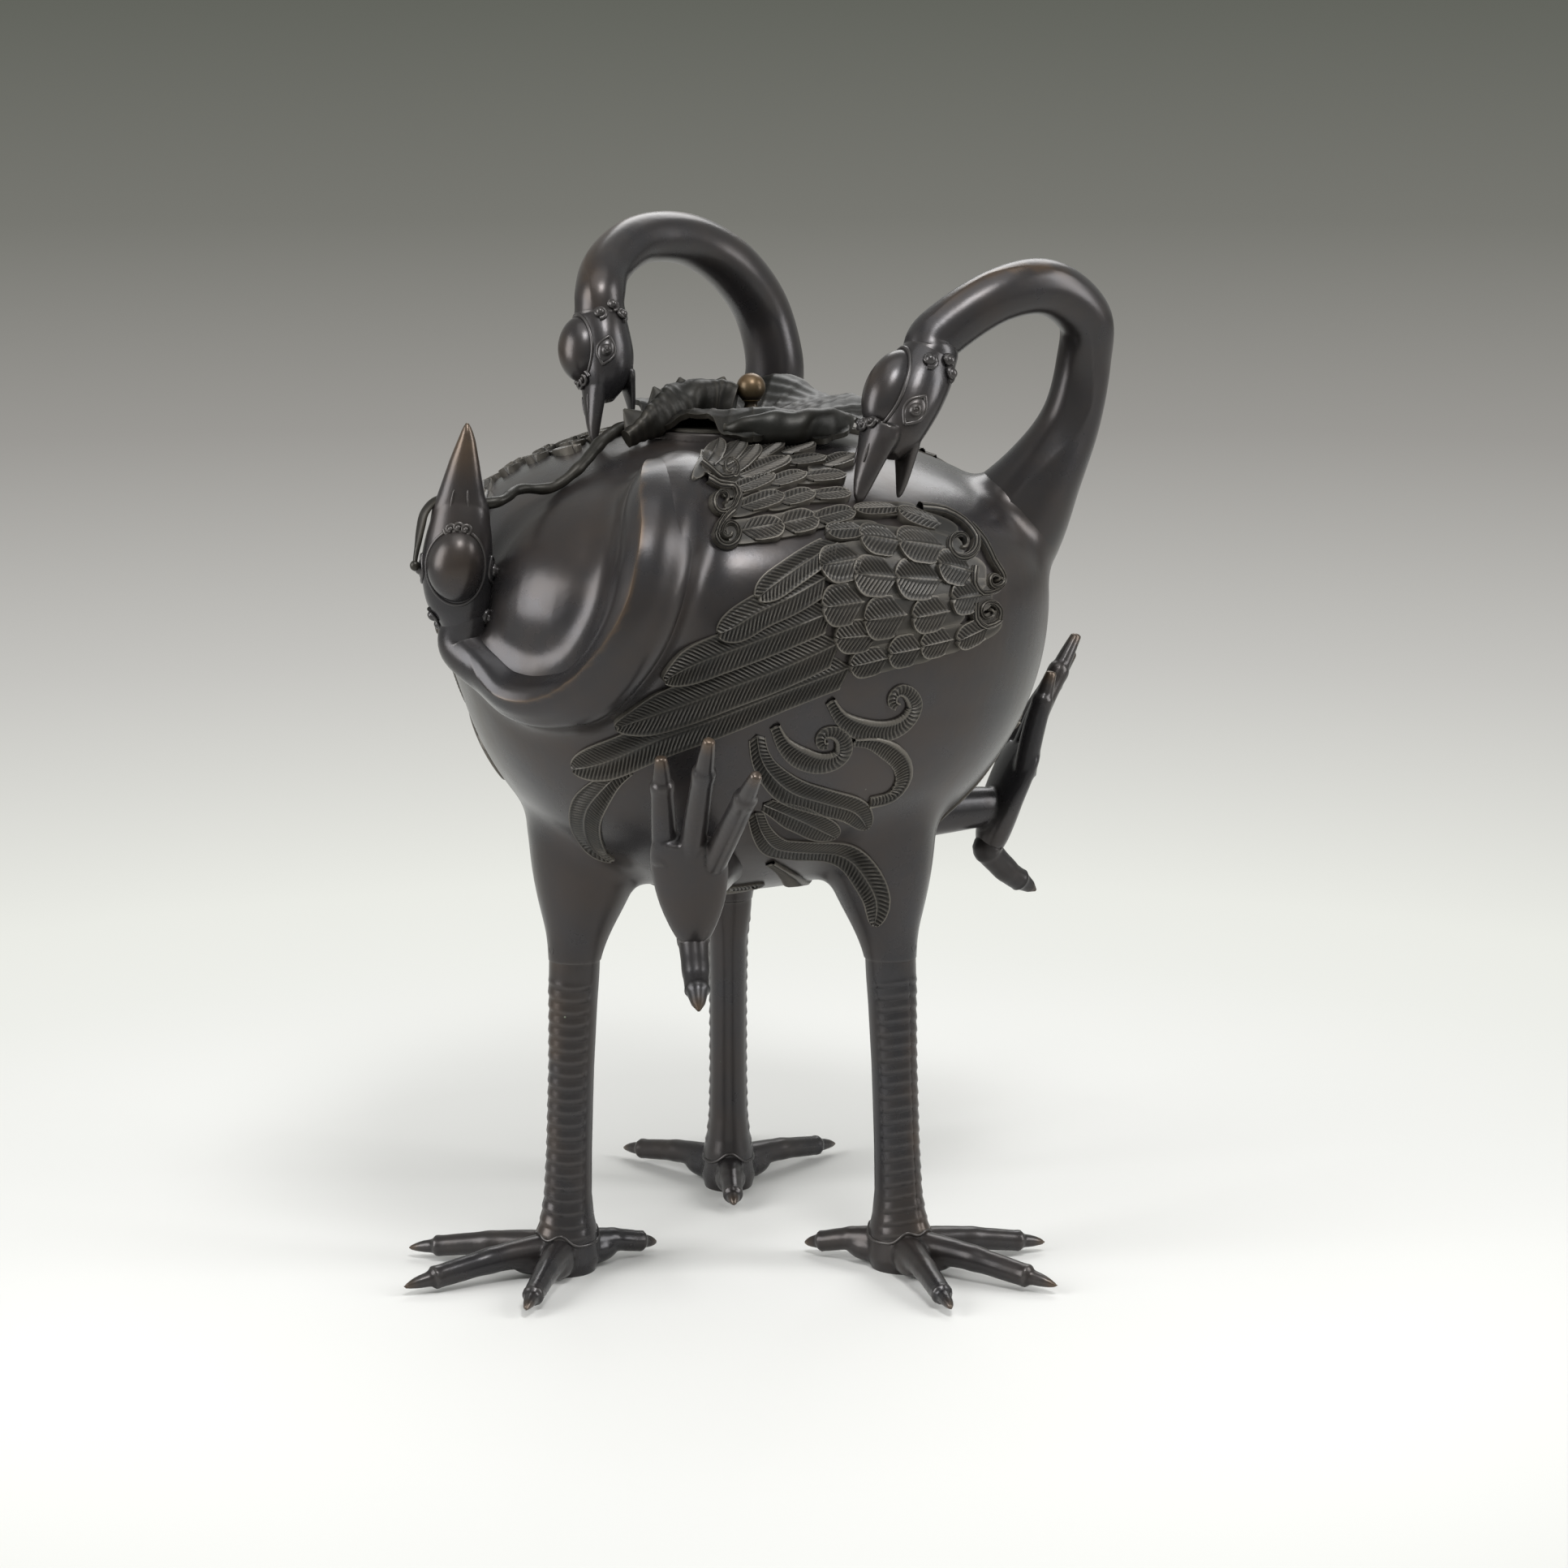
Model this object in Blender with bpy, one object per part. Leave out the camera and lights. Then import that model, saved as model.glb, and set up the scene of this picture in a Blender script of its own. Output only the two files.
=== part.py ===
"""Tripod incense burner: three bronze cranes back to back round one bowl, with a lotus leaf lid.

Metres, +Z up, floor at z = 0. The bowl's axis is the Z axis. An azimuth is measured from -Y
(the viewer's side) towards +X, and one crane repeats every 120 degrees.
"""
import math

import bmesh
import bpy
from mathutils import Matrix, Vector

# Fits
SEAT_GAP = 0.0003        # between pieces that touch
PIN_GAP = 0.0003         # round a pin in its hole
SKIN_GAP = 0.0005        # between the bowl's skin and what is cast to lie on it
FOLD_LIMIT = 0.00025     # a face warped more than this is folded

# Three-fold layout, azimuths in degrees
CRANES = {"front": -35.0, "right": 85.0, "rear": 205.0}
LEG_TURN = -25.0         # standing leg, from the way its crane faces
RAISED_TURNS = {"front": 27.0, "right": 27.0, "rear": 2.0}   # lifted leg, from the facing
LEG_CIRCLE_R = 0.0923    # standing feet, from the bowl's axis

# Bowl
BOWL_R = 0.151           # at a breast
BOWL_WAIST_R = 0.131     # between two breasts, below the widest level
BOWL_SHOULDER_R = 0.141  # between two breasts, above it
BOWL_BOTTOM_Z = 0.178
BOWL_DEPTH = 0.140       # from the widest level down to the belly
BOWL_DOME = 0.081        # from the widest level up to the crown of the dome
DOME_POWER = 2.4
WALL = 0.0045
MOUTH_R = 0.040
COLLAR_WALL = 0.004
COLLAR_RISE = 0.0005     # the lid's seat over the dome's crown
COLLAR_DEPTH = 0.020

# Standing legs
LEG_TOP_Z = 0.152        # joint of leg and thigh
LEG_LEAN = 0.0062        # the leg's top lies this much nearer the axis
LEG_RADIAL = 0.0121      # half width seen from the side
LEG_ACROSS = 0.0097      # half width seen from the front
LEG_ENDS = 0.13          # a leg is this share thicker at its ends
LEG_SIDES = 8
KNEE_RUN = 0.012         # smooth top of a leg over its scutes
FOOT_TOP_Z = 0.019       # seam of leg and foot
SCUTES = 12
SCUTE_RISE = 0.0006
TENON_R = 0.0055
TENON_LENGTH = 0.012
PIN_R = 0.0022
PIN_INSET = 0.001        # a pin's ends lie this far under the surface

# Toes of a standing foot: turn from straight out, reach, thickness
TOES = ((-46.1, 0.0800, 0.0052), (-3.0, 0.0847, 0.0056), (46.6, 0.0750, 0.0052),
        (182.1, 0.0515, 0.0052))
TOE_SINK = 0.0008        # what the flat sole takes off a toe
TOE_ARCH = 0.0035
TOE_ROOT = 0.006         # a toe starts this far from the leg's middle
CLAW_TIP_Z = 0.0022
# Foot from the sole to its seam: height, half width, half length
FOOT_SHAPE = ((-TOE_SINK, 0.0150, 0.0165), (0.006, 0.0165, 0.0175), (0.013, 0.0125, 0.0150),
              (FOOT_TOP_Z, 0.0120, 0.0148))

# Raised feet, from the shank's root on the bowl
SHANK_Z = 0.197
SHANK_R = 0.0122
SHANK_FLARE = 1.75       # the shank widens to the bowl by this share
SHANK_SINK = 0.020       # the shank's form starts this far inside the bowl
PALM_OUT = 0.142         # palm's middle, from the bowl's axis
PALM_DROP = 0.012        # the palm starts this far under the shank's middle
PALM_RISE = 0.036        # and ends this far over it
PALM_SLOPE = 0.016       # its upper end stands this much further out
# Palm from its heel to its toes: share of the way, half width, half thickness
PALM_SHAPE = ((0.00, 0.0075, 0.0070), (0.15, 0.0105, 0.0085), (0.45, 0.0160, 0.0080),
              (0.80, 0.0175, 0.0070), (1.00, 0.0150, 0.0055))
RAISED_TOE_THICK = 0.0053
RAISED_TOE_ARCH = 0.002
RAISED_TOE_PITCH = 0.0105
SHANK_PIN_BACK = 0.024   # the shank's pin stands this far inside the palm
SHANK_PIN_RISE = 0.005
HIND_TOE_TIP = (0.168, 0.1505)
# Turn from the lifted leg, reach from the bowl's axis and height of each front toe's tip
FRONT_TOES = ((-3.5, 0.168, 0.272), (4.3, 0.195, 0.285), (10.1, 0.207, 0.272))
HIND_TOE_TURN = 2.1
HIND_TOE_RADII = (0.0069, 0.0074, 0.0061, 0.0060, 0.0058, 0.0050, 0.0056, 0.0038, 0.0026, 0.0006)

# The front crane's breast swells inside the bend of its neck
BREAST_SWELL = 0.0065
BREAST_AZIMUTH = -34.0
BREAST_Z = 0.343
BREAST_HALF_TURN = 15.0  # degrees from its middle to its edge
BREAST_HALF_Z = 0.046

# Wings and the plumes under them
FEATHER_RISE = 0.0032
FEATHER_RIDGE = 0.0015
PLUME_R = 0.0034         # half width of a plume
PLUME_FLAT = 0.62        # its height over the skin, as a share of that
PLUME_END = 0.6          # it narrows to this share at both ends

# Lid
LEAF_R = 0.0535
LEAF_CENTRE = (0.010, -0.002)
LEAF_TO_BREAST = 0.0975  # what lies beside the lid is set out from the leaf's edge by this
LEAF_THICK = 0.0024
LEAF_RUFFLE = 0.0055
LEAF_TILT = 0.0062       # the back edge stands this much higher, and the front edge droops
LEAF_CURL = 0.010        # width of the ruffled edge
LEAF_FLAT = 0.004        # flat part of the leaf past the collar
LEAF_WAVES = 9
LEAF_COLUMNS = 36
LEAF_SCALLOP = 0.035     # depth of the edge's scallops, as a share of the radius
FLANGE_WALL = 0.0024
FLANGE_DROP = 0.012
FLANGE_PLATE = 0.0016
PLATE_INSET = 0.003      # the plate ends this far inside the collar's edge
RIVET_R = 0.0020
KNOB_R = 0.0062
KNOB_RISE = 0.0105

# Heads
HEAD_JOINTS = {"front": 0.0098, "right": 0.0118, "rear": 0.0112}   # radius where neck and head meet
HEAD_SCALES = {"front": 1.0, "right": 1.15, "rear": 1.0}
HEAD_TENON_R = 0.0045
HEAD_TENON = 0.006

# Worked out from the above
BOWL_WIDE_Z = BOWL_BOTTOM_Z + BOWL_DEPTH
BOWL_TOP_Z = BOWL_WIDE_Z + BOWL_DOME
RIM_Z = BOWL_TOP_Z + COLLAR_RISE
COLLAR_R = MOUTH_R + COLLAR_WALL
CUT_MARGIN = 0.02        # how far a cutter runs past what it cuts
BOWL_COLUMNS = 36        # facets round the bowl
BOWL_ROWS = 14


def clear_scene():
    for obj in list(bpy.data.objects):
        bpy.data.objects.remove(obj, do_unlink=True)


def srgb(hex_colour):
    def linear(value):
        return value / 12.92 if value <= 0.04045 else ((value + 0.055) / 1.055) ** 2.4
    parts = [int(hex_colour[i:i + 2], 16) / 255 for i in (0, 2, 4)]
    return (*[linear(part) for part in parts], 1.0)


def bronze(name, hex_colour, roughness):
    material = bpy.data.materials.new(name)
    material.use_nodes = True
    shader = material.node_tree.nodes["Principled BSDF"]
    shader.inputs["Base Color"].default_value = srgb(hex_colour)
    shader.inputs["Metallic"].default_value = 0.9
    shader.inputs["Roughness"].default_value = roughness
    return material


# Small geometry helpers

def polar(azimuth, radius, z):
    angle = math.radians(azimuth)
    return Vector((radius * math.sin(angle), -radius * math.cos(angle), z))


def outward(azimuth):
    return polar(azimuth, 1.0, 0.0)


def smooth_path(points, steps):
    """Points on a Catmull-Rom curve through the given values (vectors or numbers)."""
    path = []
    last = len(points) - 1
    for i in range(last):
        p0, p1 = points[max(i - 1, 0)], points[i]
        p2, p3 = points[i + 1], points[min(i + 2, last)]
        for k in range(steps):
            t = k / steps
            path.append(0.5 * (2 * p1 + (p2 - p0) * t + (2 * p0 - 5 * p1 + 4 * p2 - p3) * t * t
                               + (3 * p1 - p0 - 3 * p2 + p3) * t ** 3))
    path.append(points[last])
    return path


def mesh_object(name, bm, material=None):
    bmesh.ops.remove_doubles(bm, verts=bm.verts, dist=1e-6)
    bmesh.ops.recalc_face_normals(bm, faces=bm.faces)
    mesh = bpy.data.meshes.new(name)
    bm.to_mesh(mesh)
    bm.free()
    mesh.shade_smooth()
    mesh.set_sharp_from_angle(angle=math.radians(38))
    if material:
        mesh.materials.append(material)
    obj = bpy.data.objects.new(name, mesh)
    bpy.context.scene.collection.objects.link(obj)
    return obj


def warp(corners):
    """How far the fourth corner lies off the plane of the other three."""
    first, second, third, fourth = [corner.co for corner in corners]
    normal = (second - first).cross(third - first)
    return abs(normal.normalized().dot(fourth - first))


def skin(bm, rings):
    """Close a body over rings of points; a ring of one point is a pole. A warped face is folded
    the same way in a body and in the cutter made from it."""
    loops = [[bm.verts.new(point) for point in ring] for ring in rings]
    for low, high in zip(loops, loops[1:]):
        count = max(len(low), len(high))
        for i in range(count):
            j = (i + 1) % count
            corners = [low[i % len(low)], low[j % len(low)], high[j % len(high)], high[i % len(high)]]
            unique = list(dict.fromkeys(corners))
            if len(unique) == 4 and warp(unique) > FOLD_LIMIT:
                bm.faces.new(unique[:3])
                bm.faces.new([unique[2], unique[3], unique[0]])
            elif len(unique) > 2:
                bm.faces.new(unique)
    for end in (loops[0], loops[-1]):
        if len(end) > 2:
            bm.faces.new(end)


def oval(centre, side, up, half_side, half_up, count):
    turns = [2 * math.pi * i / count for i in range(count)]
    return [centre + side * (half_side * math.cos(t)) + up * (half_up * math.sin(t)) for t in turns]


def frames_along(path, side_hint):
    """Tangent, side and up at each point, with the side kept near the last one."""
    frames = []
    side = side_hint
    for i in range(len(path)):
        ahead, behind = path[min(i + 1, len(path) - 1)], path[max(i - 1, 0)]
        tangent = (ahead - behind).normalized()
        side = (side - tangent * side.dot(tangent)).normalized()
        frames.append((tangent, side, tangent.cross(side).normalized()))
    return frames


def sweep(path, radii, count, side_hint, flatten=1.0, socket=None):
    """Rings for a swept body; socket = (radius, depth) of a blind hole in its far end."""
    frames = frames_along(path, side_hint)
    rings = [oval(point, side, up, radius, radius * flatten, count)
             for point, radius, (tangent, side, up) in zip(path, radii, frames)]
    if socket:
        tangent, side, up = frames[-1]
        hole_r, depth = socket
        rings.append(oval(path[-1], side, up, hole_r, hole_r, count))
        rings.append(oval(path[-1] - tangent * depth, side, up, hole_r, hole_r, count))
    return rings


def body(name, rings, material=None):
    bm = bmesh.new()
    skin(bm, rings)
    return mesh_object(name, bm, material)


def rod(name, start, end, radius, count=12, material=None):
    """A plain cylinder between two points."""
    tangent = (end - start).normalized()
    hint = Vector((0, 0, 1)) if abs(tangent.z) < 0.9 else Vector((1, 0, 0))
    side = tangent.cross(hint).normalized()
    up = tangent.cross(side)
    return body(name, [oval(p, side, up, radius, radius, count) for p in (start, end)], material)


def bore_radius(radius, count=12):
    """A faceted bore whose flats clear a round of the given radius."""
    return (radius + PIN_GAP) / math.cos(math.pi / count)


def hide_tool(tool):
    tool.hide_render = True
    tool.display_type = "WIRE"
    return tool


def boolean(obj, tool, operation):
    modifier = obj.modifiers.new(f"{operation.lower()}_{tool.name}", "BOOLEAN")
    modifier.operation = operation
    modifier.solver = "EXACT"
    modifier.object = hide_tool(tool)
    return obj


def cut(obj, tool):
    return boolean(obj, tool, "DIFFERENCE")


def fuse(obj, tool):
    return boolean(obj, tool, "UNION")


# Bowl surface

def breast_share(azimuth):
    """1 where a crane faces, 0 half way between two cranes."""
    turn = (azimuth - CRANES["front"] + 60.0) % 120.0 - 60.0
    return math.cos(math.radians(1.5 * turn)) ** 2


def breast_swell(azimuth, z):
    """How far the front crane's breast stands out of the even bowl."""
    across = (azimuth - BREAST_AZIMUTH + 180.0) % 360.0 - 180.0
    reach = (across / BREAST_HALF_TURN) ** 2 + ((z - BREAST_Z) / BREAST_HALF_Z) ** 2
    return BREAST_SWELL * max(1.0 - reach, 0.0)


def bowl_radius(azimuth, z, grow=0.0):
    """Distance of the bowl's skin from its axis; grow moves the skin outwards."""
    rise = (z - BOWL_WIDE_Z) / ((BOWL_DOME if z > BOWL_WIDE_Z else BOWL_DEPTH) + grow)
    if abs(rise) >= 1.0:
        return 0.0
    power = DOME_POWER if z > BOWL_WIDE_Z else 2.0
    level = math.sqrt(1.0 - abs(rise) ** power)
    shoulder = min(max((z - BOWL_WIDE_Z) / BOWL_DOME + 0.5, 0.0), 1.0)
    valley = BOWL_WAIST_R + (BOWL_SHOULDER_R - BOWL_WAIST_R) * shoulder
    widest = valley + (BOWL_R - valley) * breast_share(azimuth)
    swell = breast_swell(azimuth, z) if grow >= 0.0 else 0.0
    return (widest + grow) * level + swell


def bowl_point(azimuth, z, out=0.0):
    return polar(azimuth, bowl_radius(azimuth, z) + out, z)


def bowl_rings(grow, columns, rows):
    """Rings of the bowl from its belly to its crown; a negative grow gives the inside."""
    rings = [[Vector((0, 0, BOWL_BOTTOM_Z - grow))]]
    for row in range(1, rows):
        rise = -math.cos(math.pi * row / rows)
        z = BOWL_WIDE_Z + rise * ((BOWL_DOME if rise > 0 else BOWL_DEPTH) + grow)
        rings.append([polar(360.0 * k / columns, bowl_radius(360.0 * k / columns, z, grow), z)
                      for k in range(columns)])
    rings.append([Vector((0, 0, BOWL_TOP_Z + grow))])
    return rings


# Standing legs: centre line, thigh, leg and foot

def leg_azimuth(facing):
    return facing + LEG_TURN


def leg_centre(facing, z):
    lean = LEG_LEAN * z / LEG_TOP_Z
    return polar(leg_azimuth(facing), LEG_CIRCLE_R - lean, z)


THIGH = ((0.000, 0.0125, 0.0000), (0.012, 0.0150, 0.0015), (0.030, 0.0215, 0.0040),
         (0.050, 0.0280, 0.0075), (0.072, 0.0360, 0.0140), (0.100, 0.0430, 0.0280))


def thigh_rings(facing, gap):
    """Rings of a thigh: height over the leg's top, radius and drift towards the axis."""
    azimuth = leg_azimuth(facing)
    side, up = outward(azimuth + 90), outward(azimuth)
    top = leg_centre(facing, LEG_TOP_Z)
    return [oval(top + Vector((0, 0, rise)) - up * drift, side, up, radius + gap, radius + gap, 16)
            for rise, radius, drift in THIGH]


def bowl_form(name, grow, columns, rows):
    """The bowl with its three thighs, solid; grown, it trims what rests on the bowl."""
    form = body(name, bowl_rings(grow, columns, rows))
    for crane, facing in CRANES.items():
        fuse(form, body(f"{name}_thigh_{crane}", thigh_rings(facing, grow)))
    return form


def make_vessel(material):
    vessel = bowl_form("vessel", 0.0, BOWL_COLUMNS, BOWL_ROWS)
    vessel.data.materials.append(material)
    for crane, facing in CRANES.items():
        for i, line in enumerate(PLUMES):
            fuse(vessel, body(f"plume_form_{crane}_{i}", plume_rings(facing, line)))
    collar_low = Vector((0, 0, RIM_Z - COLLAR_DEPTH))
    fuse(vessel, rod("collar_form", collar_low, Vector((0, 0, RIM_Z)), COLLAR_R, 28))
    cut(vessel, body("cavity_form", bowl_rings(-WALL, 24, 10)))
    mouth_low = Vector((0, 0, BOWL_WIDE_Z))
    cut(vessel, rod("mouth_form", mouth_low, Vector((0, 0, RIM_Z + CUT_MARGIN)), MOUTH_R, 28))
    for crane, facing in CRANES.items():
        top = leg_centre(facing, LEG_TOP_Z + TENON_LENGTH + PIN_GAP)
        below = leg_centre(facing, LEG_TOP_Z - CUT_MARGIN)
        cut(vessel, rod(f"leg_socket_{crane}", below, top, bore_radius(TENON_R), 12))
        start, end = leg_pin_line(facing)
        cut(vessel, rod(f"leg_pin_hole_{crane}", start, end + (end - start), PIN_R + PIN_GAP, 8))
    return vessel


# Centre lines of the plumes on the bowl, from the wing to the curled end: turn from the crane's
# facing, height
PLUMES = (
    ((-65.0, 0.2835), (-58.2, 0.2718), (-49.7, 0.2692), (-43.9, 0.2754), (-44.4, 0.2853),
     (-48.3, 0.2924), (-52.5, 0.2890)),
    ((-79.6, 0.2770), (-74.7, 0.2613), (-67.5, 0.2543), (-60.5, 0.2579), (-59.5, 0.2677),
     (-62.7, 0.2746), (-67.4, 0.2720)),
    ((-81.7, 0.2640), (-77.6, 0.2420), (-69.5, 0.2290), (-57.5, 0.2200), (-42.0, 0.2120)),
)


def plume_rings(facing, line):
    """A ridged rib on the bowl's skin."""
    path = [bowl_point(facing + turn, z) for turn, z in line]
    last = len(path) - 1
    radii = [PLUME_R * (1.0 - (1.0 - PLUME_END) * abs(2 * i / last - 1) ** 2) for i in range(last + 1)]
    side = (path[1] - path[0]).cross(outward(facing + line[0][0]))
    return sweep(path, radii, 4, side, PLUME_FLAT)


def leg_pin_line(facing):
    """The pin enters from the leg's outer side, across the thigh and the tenon."""
    centre = leg_centre(facing, LEG_TOP_Z + TENON_LENGTH / 2)
    out = outward(leg_azimuth(facing))
    thigh_r = (THIGH[0][1] + THIGH[1][1]) / 2
    return centre + out * PIN_INSET, centre + out * (thigh_r - PIN_INSET)


def make_leg(crane, facing, material):
    azimuth = leg_azimuth(facing)
    side, out = outward(azimuth + 90), outward(azimuth)
    low, high = FOOT_TOP_Z + SEAT_GAP, LEG_TOP_Z - SEAT_GAP

    def ring(z, half_side, half_out):
        return oval(leg_centre(facing, z), side, out, half_side, half_out, LEG_SIDES)

    rings = [ring(low - TENON_LENGTH, TENON_R, TENON_R), ring(low, TENON_R, TENON_R)]
    pitch = (high - low - KNEE_RUN) / SCUTES
    for i in range(SCUTES):
        z = low + pitch * i
        share = abs(i / (SCUTES - 1) - 0.45) * 2
        swell = 1.0 + LEG_ENDS * share ** 2
        rings.append(ring(z, LEG_ACROSS * swell + SCUTE_RISE, LEG_RADIAL * swell + SCUTE_RISE))
        rings.append(ring(z + pitch * 0.85, LEG_ACROSS * swell - SCUTE_RISE,
                          LEG_RADIAL * swell - SCUTE_RISE))
    rings.append(ring(high, THIGH[0][1], THIGH[0][1]))
    rings.append(ring(high, TENON_R, TENON_R))
    rings.append(ring(high + TENON_LENGTH, TENON_R, TENON_R))
    leg = body(f"{crane}_leg", rings, material)
    start, end = leg_pin_line(facing)
    back = start - (end - start)
    return cut(leg, rod(f"tenon_hole_{crane}", back, end, PIN_R + PIN_GAP, 8))


def toe_rings(start, end, thick, arch, count=5):
    """A toe from its root to the claw's tip: two knuckles, then a tapered claw."""
    length = (end - start).length
    direction = (end - start).normalized()
    lift = Vector((0, 0, 1)) if abs(direction.z) < 0.6 else Vector((direction.x, direction.y, 0)) * -1
    lift = (lift - direction * lift.dot(direction)).normalized()
    side = direction.cross(lift).normalized()
    profile = ((0.00, 1.10, 0.6), (0.16, 0.92, 1.0), (0.32, 1.12, 1.0), (0.43, 0.90, 0.9),
               (0.56, 1.05, 0.7), (0.68, 0.82, 0.35), (0.77, 0.98, 0.25), (0.81, 0.64, 0.15),
               (1.00, 0.12, -0.25))
    return [oval(start + direction * (length * share) + lift * (arch * bend), side, lift,
                 thick * width, thick * width, count) for share, width, bend in profile]


def make_foot(crane, facing, material):
    azimuth = leg_azimuth(facing)
    side, out = outward(azimuth + 90), outward(azimuth)
    base = leg_centre(facing, 0.0)
    top = leg_centre(facing, FOOT_TOP_Z)
    rings = [oval(base.lerp(top, z / FOOT_TOP_Z), side, out, across, along, 14)
             for z, across, along in FOOT_SHAPE]
    foot = body(f"{crane}_foot", rings, material)
    for i, (turn, reach, thick) in enumerate(TOES):
        way = outward(azimuth + turn)
        start = base + way * TOE_ROOT + Vector((0, 0, thick + TOE_SINK))
        end = base + way * reach + Vector((0, 0, CLAW_TIP_Z))
        fuse(foot, body(f"toe_form_{crane}_{i}", toe_rings(start, end, thick, TOE_ARCH)))
    floor_low = base - Vector((0, 0, CUT_MARGIN))
    floor_r = max(reach for turn, reach, thick in TOES) + CUT_MARGIN
    cut(foot, rod(f"sole_cut_{crane}", floor_low, base, floor_r, 24))
    socket_low = leg_centre(facing, FOOT_TOP_Z - TENON_LENGTH)
    socket_high = leg_centre(facing, FOOT_TOP_Z + CUT_MARGIN)
    cut(foot, rod(f"foot_socket_{crane}", socket_low, socket_high, bore_radius(TENON_R), 12))
    return foot


# Raised legs

def raised_azimuth(crane):
    return CRANES[crane] + RAISED_TURNS[crane]


def palm_points(crane):
    azimuth = raised_azimuth(crane)
    heel = polar(azimuth, PALM_OUT - PALM_SLOPE / 5, SHANK_Z - PALM_DROP)
    crown = polar(azimuth, PALM_OUT + PALM_SLOPE, SHANK_Z + PALM_RISE)
    return heel, crown


def make_raised_foot(crane, bowl_cutter, material):
    azimuth = raised_azimuth(crane)
    out, side = outward(azimuth), outward(azimuth + 90)
    up = Vector((0, 0, 1))
    heel, crown = palm_points(crane)
    rise = (crown - heel).normalized()
    sole = side.cross(rise).normalized()
    if sole.dot(out) < 0:
        sole.negate()
    foot = body(f"{crane}_raised_foot",
                [oval(heel.lerp(crown, share), side, sole, across, deep, 14)
                 for share, across, deep in PALM_SHAPE], material)
    inner = polar(azimuth, bowl_radius(azimuth, SHANK_Z) - SHANK_SINK, SHANK_Z + SHANK_R)
    outer = heel.lerp(crown, 0.42)
    path = smooth_path([inner, inner.lerp(outer, 0.5) - up * 0.002, outer], 3)
    radii = [SHANK_R * (0.6 + (SHANK_FLARE - 0.6) * share)
             for share in (1.0, 0.72, 0.45, 0.36, 0.34, 0.2, 0.0)]
    fuse(foot, body(f"shank_form_{crane}", sweep(path, radii, 12, side)))
    for i, (turn, reach, height) in enumerate(FRONT_TOES):
        root = crown.lerp(heel, 0.30) + side * (RAISED_TOE_PITCH * (i - 1))
        tip = polar(azimuth + turn, reach, height)
        toe = toe_rings(root, tip, RAISED_TOE_THICK, RAISED_TOE_ARCH)
        fuse(foot, body(f"raised_toe_form_{crane}_{i}", toe))
    cut(foot, bowl_cutter)
    cut(foot, raised_pin_hole(crane))
    return foot


def raised_pin_line(crane):
    """A pin down through the lifted shank, close to the bowl."""
    azimuth = raised_azimuth(crane)
    centre = polar(azimuth, PALM_OUT - SHANK_PIN_BACK, SHANK_Z + SHANK_PIN_RISE)
    return centre + Vector((0, 0, PIN_INSET)), centre + Vector((0, 0, SHANK_R * 0.96))


def raised_pin_hole(crane):
    start, end = raised_pin_line(crane)
    return rod(f"raised_pin_hole_{crane}", start - Vector((0, 0, PIN_GAP)), end + (end - start),
               PIN_R + PIN_GAP, 8)


def make_hind_toe(crane, material):
    """The lifted foot's hind toe, a casting of its own behind a collar."""
    azimuth = raised_azimuth(crane)
    heel, crown = palm_points(crane)
    down = (heel - crown).normalized()
    start = heel + down * SEAT_GAP
    tip = polar(azimuth + HIND_TOE_TURN, *HIND_TOE_TIP)
    bend = start + down * 0.004
    path = [start] + smooth_path([bend, bend.lerp(tip, 0.5) + down * 0.002, tip], 4)
    rings = sweep(path, HIND_TOE_RADII, 8, outward(azimuth + 90))
    return body(f"{crane}_hind_toe", rings, material)


# Necks and heads

# Centre lines as azimuth, distance outside the breast radius and height over the dome's crown,
# with the neck's radius there.
NECKS = {
    "front": ((-12.0, -0.079, -0.030, 0.0190), (-14.5, -0.053, -0.023, 0.0200),
              (-15.0, -0.026, -0.030, 0.0195), (-14.5, -0.005, -0.049, 0.0180),
              (-17.0, 0.004, -0.075, 0.0165), (-23.5, 0.005, -0.099, 0.0145),
              (-31.5, 0.004, -0.107, 0.0128), (-38.8, 0.004, -0.1065, 0.0116),
              (-45.0, 0.003, -0.0985, 0.0108), (-50.8, 0.0055, -0.0785, HEAD_JOINTS["front"])),
    "right": ((88.0, -0.040, -0.062, 0.0330), (85.5, -0.021, -0.047, 0.0290),
              (84.7, -0.003, -0.020, 0.0195), (85.5, 0.009, 0.004, 0.0146),
              (85.2, 0.0145, 0.030, 0.0132), (82.4, 0.0145, 0.0525, 0.0130),
              (76.4, -0.002, 0.067, 0.0134), (68.2, -0.022, 0.0632, 0.0128),
              (56.0, -0.0425, 0.0385, HEAD_JOINTS["right"])),
    "rear": ((183.0, -0.040, -0.062, 0.0330), (178.0, -0.024, -0.040, 0.0270),
             (172.0, -0.029, -0.012, 0.0185), (167.8, -0.036, 0.014, 0.0150),
             (170.3, -0.041, 0.044, 0.0143), (177.2, -0.056, 0.066, 0.0140),
             (188.4, -0.070, 0.079, 0.0132), (204.3, -0.083, 0.0845, 0.0125),
             (226.5, -0.0895, 0.083, 0.0120), (251.0, -0.0905, 0.073, 0.0119),
             (269.0, -0.0905, 0.0520, HEAD_JOINTS["rear"])),
}
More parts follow.
